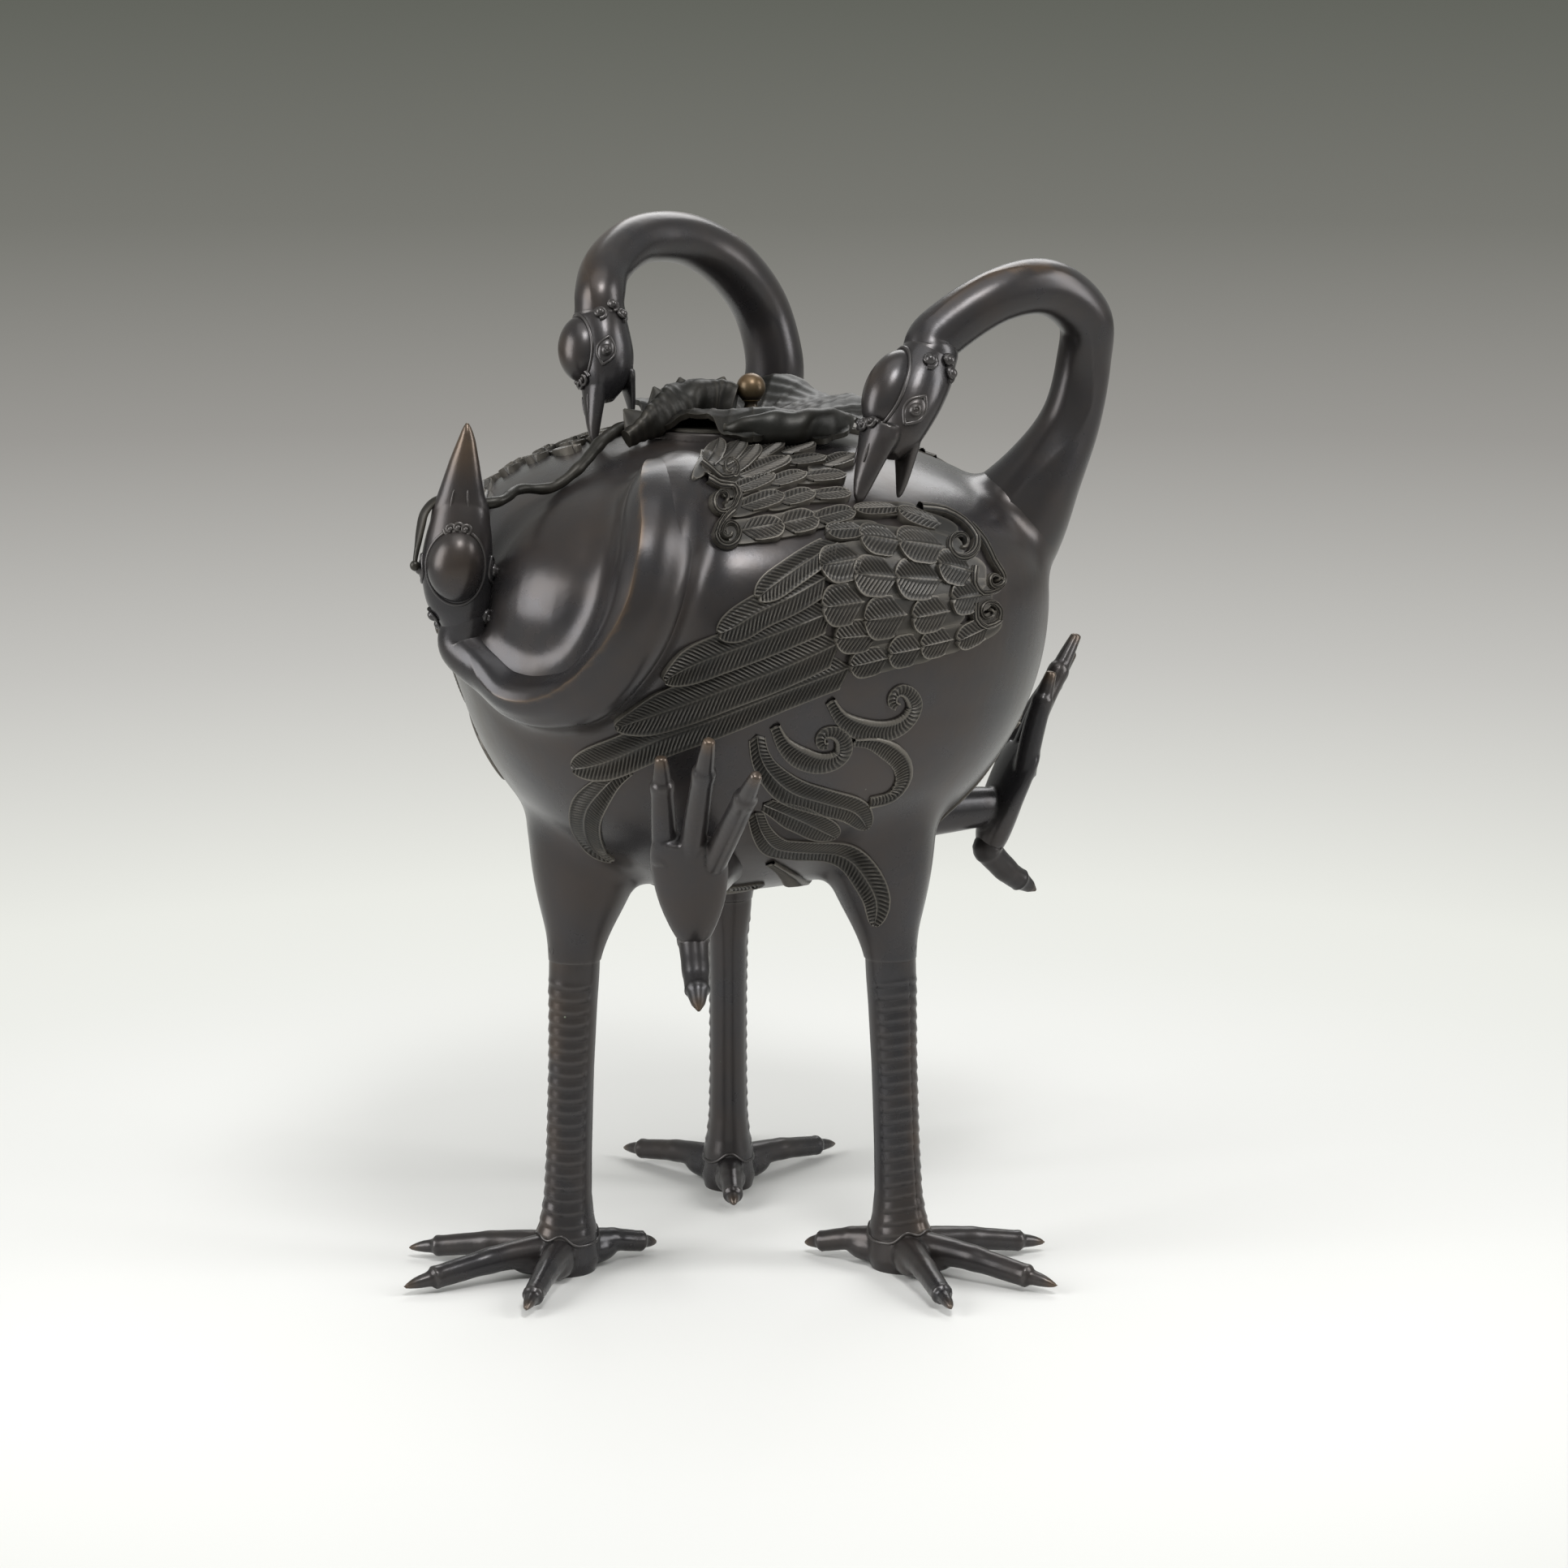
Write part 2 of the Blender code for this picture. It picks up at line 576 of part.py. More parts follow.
# Which way each beak points and each crown faces
BEAK_WAYS = {"front": (0.03, -0.06, 1.0), "right": (-0.40, -0.40, -0.85), "rear": (0.0, -0.32, -1.0)}
CROWN_WAYS = {"front": (-0.03, -1.0, 0.0), "right": (-0.75, -0.30, 0.45), "rear": (-0.93, -0.36, 0.0)}
BEAK_GAPES = {"front": 4.0, "right": 9.0, "rear": 11.0}
BEAK_LENGTHS = {"front": 0.041, "right": 0.028, "rear": 0.024}
HEAD_RESTS = {"front": 0.0, "right": FEATHER_RISE + FEATHER_RIDGE, "rear": FEATHER_RISE + FEATHER_RIDGE}
NECK_STEPS = 2
NECK_SIDES = 12
NAPE_RUN = 0.010         # straight end of a neck before its head


def reach_from(share):
    """Radius that a run is measured from: the breast at its root, the leaf's edge at its end."""
    return BOWL_R + (LEAF_R + LEAF_TO_BREAST - BOWL_R) * share


def neck_points(crane):
    """Centre line that ends at the head's nape, and its radii."""
    rows = NECKS[crane]
    points = []
    for i, (azimuth, out, rise, radius) in enumerate(rows):
        share = i / (len(rows) - 1) if crane == "rear" else 0.0
        points.append(polar(azimuth, reach_from(share) + out, BOWL_TOP_Z + rise))
    sizes = [row[3] for row in rows]
    points.insert(-1, points[-1] - Vector(BEAK_WAYS[crane]).normalized() * NAPE_RUN)
    sizes.insert(-1, HEAD_JOINTS[crane] * 1.06)
    return smooth_path(points, NECK_STEPS), smooth_path(sizes, NECK_STEPS)


def head_frame(crane):
    """Origin at the nape joint, +X to the beak, +Z to the crown."""
    path, radii = neck_points(crane)
    beak = Vector(BEAK_WAYS[crane]).normalized()
    crown = Vector(CROWN_WAYS[crane])
    crown = (crown - beak * crown.dot(beak)).normalized()
    side = crown.cross(beak)
    turn = Matrix((beak, side, crown)).transposed().to_4x4()
    return Matrix.Translation(path[-1]) @ turn


def make_neck(crane, bowl_cutter, material):
    """A swept neck with a blind socket for the head's tenon, its end square to the beak."""
    path, radii = neck_points(crane)
    hint = Vector((0, 0, 1)).cross(path[1] - path[0]).normalized()
    beak = head_frame(crane).to_3x3() @ Vector((1, 0, 0))
    rings = sweep(path[:-1], radii[:-1], NECK_SIDES, hint)
    joint_side = frames_along(path, hint)[-1][1]
    joint_side = (joint_side - beak * joint_side.dot(beak)).normalized()
    joint_up = beak.cross(joint_side)
    hole_r, depth = HEAD_TENON_R + PIN_GAP, HEAD_TENON + PIN_GAP
    for back, radius in ((0.0, HEAD_JOINTS[crane]), (0.0, hole_r), (depth, hole_r)):
        rings.append(oval(path[-1] - beak * back, joint_side, joint_up, radius, radius, NECK_SIDES))
    neck = body(f"{crane}_neck", rings, material)
    cut(neck, bowl_cutter)
    cut(neck, neck_pin_hole(crane))
    return neck


PIN_NEAR = {"front": 4, "right": 4, "rear": 5}


def neck_pin_line(crane):
    """The plug of the pin that holds the neck, on its viewer's side near the root."""
    path, radii = neck_points(crane)
    i = PIN_NEAR[crane]
    tangent = (path[i + 1] - path[i - 1]).normalized()
    way = outward(0.0 if crane != "rear" else 180.0)
    if crane == "front":
        way = Vector((0.75, -0.5, 0.45))
    way = (way - tangent * way.dot(tangent)).normalized()
    return path[i] + way * (radii[i] * 0.3), path[i] + way * (radii[i] * 0.97)


def neck_pin_hole(crane):
    start, end = neck_pin_line(crane)
    way = (end - start).normalized()
    return rod(f"neck_pin_hole_{crane}", start - way * PIN_GAP, end + way * CUT_MARGIN,
               PIN_R + PIN_GAP, 8)


LOWER_BEAK_SHARE = 0.85
# Along the head, half width, half height and lift, before the head's own scale
HEAD_SHAPE = ((0.007, 0.0125, 0.0125, 0.001),
              (0.017, 0.0152, 0.0150, 0.001), (0.027, 0.0158, 0.0150, 0.000),
              (0.036, 0.0132, 0.0128, -0.002), (0.043, 0.0108, 0.0104, -0.003),
              (0.047, 0.0090, 0.0085, -0.003))
CROWN_BULGE = ((0.008, 0.0020, 0.006), (0.013, 0.0100, 0.007), (0.022, 0.0130, 0.009),
               (0.032, 0.0100, 0.007), (0.037, 0.0020, 0.005))


def make_head(crane, material):
    frame = head_frame(crane)
    turn = frame.to_3x3()
    ahead, side, crown = (turn @ Vector(axis) for axis in ((1, 0, 0), (0, 1, 0), (0, 0, 1)))
    origin = frame.translation

    def ring(along, half_side, half_crown, lift, count=10):
        centre = origin + ahead * along + crown * lift
        return oval(centre, side, crown, half_side, half_crown, count)

    scale, joint = HEAD_SCALES[crane], HEAD_JOINTS[crane]
    rings = [ring(-HEAD_TENON, HEAD_TENON_R, HEAD_TENON_R, 0.0),
             ring(SEAT_GAP, HEAD_TENON_R, HEAD_TENON_R, 0.0), ring(SEAT_GAP, joint, joint, 0.0)]
    rings += [ring(*[value * scale for value in row]) for row in HEAD_SHAPE]
    head = body(f"{crane}_head", rings, material)
    bulge = [ring(along * scale, half * scale, half * scale * 0.9, lift * scale)
             for along, half, lift in CROWN_BULGE]
    fuse(head, body(f"crown_form_{crane}", bulge))
    for name, sign, across, thick in (("upper", 1, 0.0088, 0.0052), ("lower", -1, 0.0075, 0.0040)):
        length = BEAK_LENGTHS[crane] * (1.0 if sign > 0 else LOWER_BEAK_SHARE) + 0.009
        gape = math.radians(BEAK_GAPES[crane])
        way = ahead * math.cos(gape) + crown * (sign * math.sin(gape))
        lift = way.cross(side) * -1
        start = origin + (ahead * 0.038 + crown * (-0.003 + sign * 0.0046)) * scale
        rows = ((0.0, scale), (0.25, 0.86 * scale), (0.6, 0.50), (0.9, 0.20), (1.0, 0.06))
        beak = [oval(start + way * (length * share), side, lift, across * size, thick * size, 8)
                for share, size in rows]
        fuse(head, body(f"{name}_beak_form_{crane}", beak))
    rest = bowl_rings(HEAD_RESTS[crane] + SKIN_GAP, BOWL_COLUMNS, BOWL_ROWS)
    cut(head, body(f"head_rest_{crane}", rest))
    return cut(head, stem_form(f"stem_groove_{crane}", SEAT_GAP)) if crane == "front" else head


# Wings

# Upper and lower edge of a wing from shoulder to tips: turn from the crane's facing, height
# over the bowl's widest level.
LONG_WING = (((-33, 0.024), (-42, 0.047), (-56, 0.058), (-69, 0.053), (-79, 0.036), (-89, 0.017),
              (-98, -0.003), (-107, -0.022), (-116, -0.052)),
             ((-31, 0.010), (-36, -0.008), (-47, -0.017), (-60, -0.021), (-72, -0.028),
              (-84, -0.037), (-95, -0.045), (-106, -0.055), (-116, -0.066)))
SHORT_WING = (((31, 0.064), (36, 0.071), (44, 0.074), (53, 0.075), (62, 0.074), (68, 0.072)),
              ((30, 0.047), (35, 0.041), (40, 0.039), (45, 0.046), (52, 0.056), (60, 0.062)))
WING_ROWS = {"left": (SHORT_WING, 4), "right": (LONG_WING, 5)}
WING_TIP_STEP = 0.105    # the lower feathers' ends step in by this share of the width
WING_ELBOW = -60.0       # past this turn every long wing is alike
# Where a crane's long wing starts: the rear crane's neck covers its shoulder
LONG_WING_STARTS = {"front": -32.0, "right": -32.0, "rear": -44.0}
# Necks that lie against a wing
NECKS_BY_WINGS = {("front", "left"): "front", ("right", "right"): "front", ("rear", "right"): "rear"}


def make_wing(crane, facing, hand, bowl_cutter, material):
    """A cast feather shield that follows the bowl's skin."""
    (upper, lower), rows = WING_ROWS[hand]
    steps = 2
    tops = smooth_path([Vector((turn, rise, 0)) for turn, rise in upper], steps)
    lows = smooth_path([Vector((turn, rise, 0)) for turn, rise in lower], steps)
    last = len(tops) - 1
    squeeze = 1.0
    if hand == "right":
        squeeze = (WING_ELBOW - LONG_WING_STARTS[crane]) / (WING_ELBOW - LONG_WING_STARTS["front"])
    bm = bmesh.new()
    inner, outer = [], []
    for i, (top, low) in enumerate(zip(tops, lows)):
        stepped = hand == "right" and i > last * 0.4 and i % steps
        step = 1.0 - WING_TIP_STEP if stepped else 1.0
        for j in range(rows + 1):
            share = j / rows * step
            spot = low.lerp(top, share)
            past_elbow = max(spot.x - WING_ELBOW, 0.0)
            azimuth = facing + spot.x - past_elbow * (1.0 - squeeze)
            z = BOWL_WIDE_Z + spot.y
            ridge = FEATHER_RIDGE * (j % 2) if 0 < i < last else 0.0
            inner.append(bm.verts.new(bowl_point(azimuth, z, -FEATHER_RISE)))
            outer.append(bm.verts.new(bowl_point(azimuth, z, FEATHER_RISE + ridge)))
    width = rows + 1

    def quad(sheet, i, j, flip):
        corners = [sheet[i * width + j], sheet[(i + 1) * width + j],
                   sheet[(i + 1) * width + j + 1], sheet[i * width + j + 1]]
        bm.faces.new(corners[::-1] if flip else corners)

    for i in range(last):
        for j in range(rows):
            quad(inner, i, j, True)
            quad(outer, i, j, False)
    rim = ([(i, 0) for i in range(last)] + [(last, j) for j in range(rows)]
           + [(i, rows) for i in range(last, 0, -1)] + [(0, j) for j in range(rows, 0, -1)])
    for (i, j), (m, n) in zip(rim, rim[1:] + rim[:1]):
        bm.faces.new((inner[i * width + j], inner[m * width + n],
                      outer[m * width + n], outer[i * width + j]))
    wing = mesh_object(f"{crane}_{hand}_wing", bm, material)
    cut(wing, bowl_cutter)
    neighbour = NECKS_BY_WINGS.get((crane, hand))
    if neighbour:
        path, radii = neck_points(neighbour)
        hint = Vector((0, 0, 1)).cross(path[1] - path[0]).normalized()
        shadow = sweep(path, [radius + SKIN_GAP for radius in radii], NECK_SIDES, hint)
        cut(wing, body(f"neck_shadow_{crane}_{hand}", shadow))
    return wing


# Lid

def leaf_seat():
    """Height of the leaf's under side where it lies on the flange's plate."""
    return RIM_Z + FLANGE_PLATE + SEAT_GAP + SKIN_GAP


def leaf_lift(spot, turn):
    """Height of the leaf over its seat: flat over the collar, ruffled outside it."""
    over = min(max((spot.xy.length - COLLAR_R - LEAF_FLAT) / LEAF_CURL, 0.0), 1.0)
    ruffle = LEAF_RUFFLE * 0.5 * math.sin(LEAF_WAVES * turn)
    return over ** 1.3 * (ruffle - LEAF_TILT * math.cos(turn) + LEAF_THICK / 2)


def make_leaf(material):
    centre = Vector((*LEAF_CENTRE, 0.0))
    seat = leaf_seat()
    columns, shares = LEAF_COLUMNS, (0.62, 0.84, 1.0)

    def ring(share, lift):
        points = []
        for k in range(columns):
            turn = 2 * math.pi * k / columns
            scallop = 1 + LEAF_SCALLOP * share * math.cos(LEAF_WAVES * turn + 0.8)
            reach = LEAF_R * share * scallop
            spot = centre + outward(math.degrees(turn)) * reach
            spot.z = seat + leaf_lift(spot, turn) + lift
            points.append(spot)
        return points

    rings = [[Vector((*LEAF_CENTRE, seat))]] + [ring(share, 0.0) for share in shares]
    rings += [ring(share, LEAF_THICK) for share in reversed(shares)]
    rings.append([Vector((*LEAF_CENTRE, seat + LEAF_THICK))])
    leaf = body("lid_leaf", rings, material)
    low, high = rivet_line()
    return cut(leaf, rod("leaf_rivet_hole", low - Vector((0, 0, CUT_MARGIN)),
                         high + Vector((0, 0, CUT_MARGIN)), RIVET_R + PIN_GAP, 10))


def rivet_line():
    low = Vector((*LEAF_CENTRE, RIM_Z + SEAT_GAP))
    return low, Vector((*LEAF_CENTRE, leaf_seat() + LEAF_THICK + KNOB_RISE * 0.5))


def make_flange(material):
    """Spun ring that drops into the mouth, with a plate that the leaf is riveted to."""
    outer = MOUTH_R - 3 * SEAT_GAP
    plate_low = RIM_Z + SEAT_GAP
    inner = outer - FLANGE_WALL
    profile = ((0.0, plate_low + FLANGE_PLATE), (COLLAR_R - PLATE_INSET, plate_low + FLANGE_PLATE),
               (COLLAR_R - PLATE_INSET, plate_low), (outer, plate_low), (outer, RIM_Z - FLANGE_DROP),
               (inner, RIM_Z - FLANGE_DROP), (inner, plate_low), (0.0, plate_low))
    rings = []
    for radius, z in profile:
        if radius == 0.0:
            rings.append([Vector((0, 0, z))])
        else:
            rings.append(oval(Vector((0, 0, z)), Vector((1, 0, 0)), Vector((0, 1, 0)),
                              radius, radius, 24))
    flange = body("lid_flange", rings, material)
    low, high = rivet_line()
    return cut(flange, rod("flange_rivet_hole", low - Vector((0, 0, CUT_MARGIN)), high,
                           RIVET_R + PIN_GAP, 10))


def make_knob(material):
    base = Vector((*LEAF_CENTRE, leaf_seat() + LEAF_THICK + SEAT_GAP))
    rows = ((0.000, 0.0052), (0.0015, 0.0056), (0.0035, 0.0036), (0.0060, 0.0040),
            (0.0085, 0.0058), (KNOB_RISE, KNOB_R), (KNOB_RISE + 0.0035, 0.0050),
            (KNOB_RISE + 0.0055, 0.0024))
    x_axis, y_axis = Vector((1, 0, 0)), Vector((0, 1, 0))
    hole = RIVET_R + PIN_GAP
    top = rivet_line()[1] + Vector((0, 0, PIN_GAP))
    rings = [oval(top, x_axis, y_axis, hole, hole, 12), oval(base, x_axis, y_axis, hole, hole, 12)]
    rings += [oval(base + Vector((0, 0, rise)), x_axis, y_axis, radius, radius, 12)
              for rise, radius in rows]
    return body("lid_knob", rings, material)


def make_rivet(material):
    low, high = rivet_line()
    head = low - Vector((0, 0, 0.0018))
    x_axis, y_axis = Vector((1, 0, 0)), Vector((0, 1, 0))
    rings = [oval(head, x_axis, y_axis, RIVET_R * 2, RIVET_R * 2, 12),
             oval(low - Vector((0, 0, SEAT_GAP)), x_axis, y_axis, RIVET_R * 2, RIVET_R * 2, 12),
             oval(low - Vector((0, 0, SEAT_GAP)), x_axis, y_axis, RIVET_R, RIVET_R, 12),
             oval(high, x_axis, y_axis, RIVET_R, RIVET_R, 12)]
    return body("lid_rivet", rings, material)


# Lotus stem: it lies across the front crane's beak, with a bud at its free end

STEM_BITE = 0.0520       # from the nape to the stem, along the front head
STEM_SIDES = 6
# Bud and stem end, from the bite: x, y, z and radius
STEM_END = ((-0.0165, -0.0135, -0.0300, 0.0030), (-0.0150, -0.0105, -0.0165, 0.0048),
            (-0.0100, -0.0060, -0.0030, 0.0030), (0.0, 0.0, 0.0, 0.0024),
            (0.0140, 0.0020, -0.0020, 0.0024))
# The run to the leaf: azimuth, distance outside the breast radius, height over the dome, radius
STEM_RUN = ((-49.3, -0.0237, -0.0195, 0.0024), (-47.1, -0.0393, -0.0195, 0.0025),
            (-46.3, -0.0554, -0.0112, 0.0027), (-50.2, -0.0728, -0.0022, 0.0029),
            (-55.8, -0.0869, 0.0015, 0.0030), (-59.5, -0.1000, 0.0040, 0.0031))


def stem_form(name, grow, material=None):
    bite = head_frame("front") @ Vector((STEM_BITE, 0.0, -0.003))
    points = [bite + Vector((x, y, z)) for x, y, z, radius in STEM_END]
    for i, (turn, out, rise, radius) in enumerate(STEM_RUN):
        share = i / (len(STEM_RUN) - 1)
        points.append(polar(turn, reach_from(share) + out, BOWL_TOP_Z + rise))
    path = smooth_path(points, 2)
    radii = smooth_path([row[3] for row in STEM_END + STEM_RUN], 2)
    rings = sweep(path, [radius + grow for radius in radii], STEM_SIDES, Vector((0, 0, 1)))
    return body(name, rings, material)


def colour_materials():
    return {
        "smooth": bronze("patinated_bronze", "2e2824", 0.34),
        "feather": bronze("chased_bronze", "38332c", 0.50),
        "leaf": bronze("leaf_bronze", "302c28", 0.45),
        "rubbed": bronze("rubbed_bronze", "6a5236", 0.32),
    }


def build():
    clear_scene()
    finish = colour_materials()
    smooth, feather = finish["smooth"], finish["feather"]
    bowl_cutter = hide_tool(bowl_form("bowl_cutter", SKIN_GAP, BOWL_COLUMNS, BOWL_ROWS))
    make_vessel(smooth)
    for crane, facing in CRANES.items():
        make_neck(crane, bowl_cutter, smooth)
        make_head(crane, smooth)
        make_leg(crane, facing, smooth)
        make_foot(crane, facing, smooth)
        make_raised_foot(crane, bowl_cutter, smooth)
        make_hind_toe(crane, smooth)
        make_wing(crane, facing, "left", bowl_cutter, feather)
        make_wing(crane, facing, "right", bowl_cutter, feather)
        rod(f"{crane}_neck_pin", *neck_pin_line(crane), PIN_R, 8, finish["rubbed"])
        rod(f"{crane}_leg_pin", *leg_pin_line(facing), PIN_R, 8, smooth)
        rod(f"{crane}_raised_pin", *raised_pin_line(crane), PIN_R, 8, smooth)
    make_leaf(finish["leaf"])
    make_flange(finish["leaf"])
    make_knob(finish["rubbed"])
    make_rivet(finish["rubbed"])
    stem_form("lotus_stem", 0.0, finish["leaf"])
    centre_on_floor()


def centre_on_floor():
    """Move everything so that the middle of the object's box on the floor is the origin."""
    bpy.context.view_layer.update()
    graph = bpy.context.evaluated_depsgraph_get()
    corners = []
    for obj in bpy.data.objects:
        if not obj.hide_render:
            mesh = obj.evaluated_get(graph).to_mesh()
            corners += [vertex.co.copy() for vertex in mesh.vertices]
    middle = [(min(c[i] for c in corners) + max(c[i] for c in corners)) / 2 for i in (0, 1)]
    for obj in bpy.data.objects:
        obj.location = Vector((-middle[0], -middle[1], 0.0))


build()
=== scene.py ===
"""Looks of the tripod incense burner: patinated bronze, chased feathers and a lotus leaf lid.

Metres. Forms are worked out round the bowl's axis, and each piece is moved to the frame's own
place when it is finished. An azimuth is measured from -Y (the viewer's side) towards +X.
"""
import math

import bmesh
import bpy
import numpy as np
from mathutils import Euler, Matrix, Vector
from mathutils.bvhtree import BVHTree


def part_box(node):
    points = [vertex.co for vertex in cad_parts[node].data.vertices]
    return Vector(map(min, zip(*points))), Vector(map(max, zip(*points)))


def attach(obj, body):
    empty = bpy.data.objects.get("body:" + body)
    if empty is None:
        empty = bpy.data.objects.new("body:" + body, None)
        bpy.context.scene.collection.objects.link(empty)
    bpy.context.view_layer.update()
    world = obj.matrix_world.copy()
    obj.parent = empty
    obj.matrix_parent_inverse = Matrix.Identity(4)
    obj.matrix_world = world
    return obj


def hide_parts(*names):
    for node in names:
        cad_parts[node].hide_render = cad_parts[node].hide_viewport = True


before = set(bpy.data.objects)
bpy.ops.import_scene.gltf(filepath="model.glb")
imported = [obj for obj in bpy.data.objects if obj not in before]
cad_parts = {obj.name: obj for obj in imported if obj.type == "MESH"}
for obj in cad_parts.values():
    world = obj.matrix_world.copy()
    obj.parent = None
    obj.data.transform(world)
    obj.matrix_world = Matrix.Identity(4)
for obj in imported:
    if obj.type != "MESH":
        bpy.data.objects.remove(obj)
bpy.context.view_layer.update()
# The lid's flange stands on the bowl's axis
FLANGE_LOW, FLANGE_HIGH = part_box("lid_flange")
AXIS = Vector(((FLANGE_LOW.x + FLANGE_HIGH.x) / 2, (FLANGE_LOW.y + FLANGE_HIGH.y) / 2, 0.0))
X_AXIS, Y_AXIS, UP = Vector((1, 0, 0)), Vector((0, 1, 0)), Vector((0, 0, 1))

# Camera, in the bowl's own frame
PHOTO_SIDE = 1932
FOCAL_PIXELS = 4986.0
CAMERA_PLACE = Vector((-0.0338, -1.8998, 0.605))
CAMERA_TURN = Euler((math.radians(78.75), 0.0, math.radians(-1.79)))
SENSOR = 36.0            # millimetres

# Layout and bowl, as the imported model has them. Each crane faces an azimuth, in degrees, and its
# standing leg and its raised foot are turned from that.
CRANES = {"front": -35.0, "right": 85.0, "rear": 205.0}
LEG_TURN = -25.0
RAISED_TURNS = {"front": 27.0, "right": 27.0, "rear": 2.0}
LEG_CIRCLE_R = 0.0923
BREAST_R = 0.151
WAIST_R = 0.131
SHOULDER_R = 0.141
BELLY_Z = 0.178
WIDE_Z = 0.318
CROWN_Z = 0.399
DOME_POWER = 2.4
WALL = 0.0045
MOUTH_R = 0.040
COLLAR_R = 0.044
COLLAR_DEPTH = 0.012
RIM_Z = 0.3995
LEG_TOP_Z = 0.152
FOOT_TOP_Z = 0.019
LEG_LEAN = 0.0062        # towards the axis, from the floor to the leg's top
JOINT = 0.0002           # what leg and thigh both give to the joint between them


# Finishes

def linear(hex_colour):
    """An sRGB hex colour as linear light."""
    values = []
    for start in (0, 2, 4):
        value = int(hex_colour[start:start + 2], 16) / 255
        values.append(value / 12.92 if value <= 0.04045 else ((value + 0.055) / 1.055) ** 2.4)
    return (*values, 1.0)


def add(tree, kind, sockets=None, **settings):
    """Add a node, set its properties, and fill its sockets with values or links."""
    made = tree.nodes.new(kind)
    for name, value in settings.items():
        setattr(made, name, value)
    for name, value in (sockets or {}).items():
        socket = made.inputs[name]
        if isinstance(value, bpy.types.NodeSocket):
            tree.links.new(value, socket)
        else:
            socket.default_value = value
    return made


def blend(tree, share, first, second):
    """Colour mix: first at share 0, second at share 1. Colours are hex text or sockets."""
    colours = [linear(value) if isinstance(value, str) else value for value in (first, second)]
    made = add(tree, "ShaderNodeMix", {0: share, 6: colours[0], 7: colours[1]}, data_type="RGBA")
    return made.outputs[2]


def remap(tree, value, low, high, to_low=0.0, to_high=1.0):
    """A value between low and high, moved to the other range and held inside it."""
    made = add(tree, "ShaderNodeMapRange", {"Value": value, "From Min": low, "From Max": high,
                                            "To Min": to_low, "To Max": to_high})
    return made.outputs["Result"]


def noise(tree, place, scale, detail, **more):
    """Fine or coarse unevenness: 20 gives patches 50 mm across, 420 specks of 2 mm."""
    sockets = {"Vector": place, "Scale": scale, "Detail": detail, **more}
    return add(tree, "ShaderNodeTexNoise", sockets).outputs["Fac"]


def maths(tree, operation, first, second):
    return add(tree, "ShaderNodeMath", {0: first, 1: second}, operation=operation).outputs[0]


def times(tree, first, second):
    return maths(tree, "MULTIPLY", first, second)


DIRT, BARE_METAL, VERDIGRIS = "0d0b0a", "71583c", "7f8a78"


def bronze(name, dark, warm, worn, roughness, edge_show, grain):
    """Cast bronze under a dark patina that goes from dark to warm in patches. Hollows hold dirt,
    edges are rubbed to the worn colour as far as edge_show says, a few spots are green, and where
    hands have polished it the metal shows golden brown."""
    material = bpy.data.materials.new(name)
    material.use_nodes = True
    tree = material.node_tree
    shader = tree.nodes["Principled BSDF"]
    place = add(tree, "ShaderNodeTexCoord").outputs["Object"]
    wear = add(tree, "ShaderNodeAttribute", attribute_name="wear").outputs["Fac"]
    rub = add(tree, "ShaderNodeAttribute", attribute_name="rub").outputs["Fac"]
    patches = noise(tree, place, 20.0, 6.0, Roughness=0.62)
    specks = noise(tree, place, 420.0, 3.0)
    spots = add(tree, "ShaderNodeTexVoronoi", {"Vector": place, "Scale": 95.0}).outputs["Distance"]

    colour = blend(tree, remap(tree, patches, 0.40, 0.66), dark, warm)
    hollow = remap(tree, wear, -0.05, -0.55)
    colour = blend(tree, times(tree, hollow, 0.75), colour, DIRT)
    edge = times(tree, remap(tree, wear, 0.12, 0.75), remap(tree, patches, 0.30, 0.62, 0.35, 1.0))
    colour = blend(tree, times(tree, edge, edge_show), colour, worn)
    broken = remap(tree, patches, 0.34, 0.60, 0.35, 1.0)
    colour = blend(tree, times(tree, rub, broken), colour, BARE_METAL)
    green = times(tree, remap(tree, spots, 0.055, 0.030), remap(tree, patches, 0.60, 0.66))
    colour = blend(tree, green, colour, VERDIGRIS)
    tree.links.new(colour, shader.inputs["Base Color"])

    uneven = remap(tree, patches, 0.3, 0.7, roughness - 0.05, roughness + 0.07)
    dull = maths(tree, "ADD", uneven, times(tree, hollow, 0.25))
    tree.links.new(dull, shader.inputs["Roughness"])
    shader.inputs["Metallic"].default_value = 0.55
    shader.inputs["Specular IOR Level"].default_value = 0.55
    ripple = noise(tree, place, 45.0, 2.0)
    skin = add(tree, "ShaderNodeBump", {"Height": ripple, "Distance": 0.0006, "Strength": 0.25})
    fine = add(tree, "ShaderNodeBump", {"Height": specks, "Distance": 0.0003, "Strength": grain,
                                        "Normal": skin.outputs["Normal"]})
    tree.links.new(fine.outputs["Normal"], shader.inputs["Normal"])
    return material


# Waxed castings, matt chased feathers, the rougher cast leaf, and what hands touch most. After the
# name come the dark, warm and worn colours, roughness, show of the edges, and grain.
FINISHES = {slot: bronze(*finish) for slot, finish in (
    ("patinated_bronze", ("waxed_patinated_bronze", "343335", "3a3533", "5f5c5a", 0.28, 0.40, 0.10)),
    ("chased_bronze", ("matt_chased_bronze", "2f2e2c", "38342f", "7a756d", 0.45, 0.80, 0.30)),
    ("leaf_bronze", ("cast_leaf_bronze", "181815", "221f1b", "46423a", 0.42, 0.50, 0.30)),
    ("rubbed_bronze", ("hand_rubbed_bronze", "302a23", "40372b", "7f6c47", 0.30, 0.50, 0.10)))}


# Small geometry helpers

def polar(azimuth, radius, z):
    """The point at this azimuth, in degrees, and this distance from the bowl's axis."""
    angle = math.radians(azimuth)
    return Vector((radius * math.sin(angle), -radius * math.cos(angle), z))


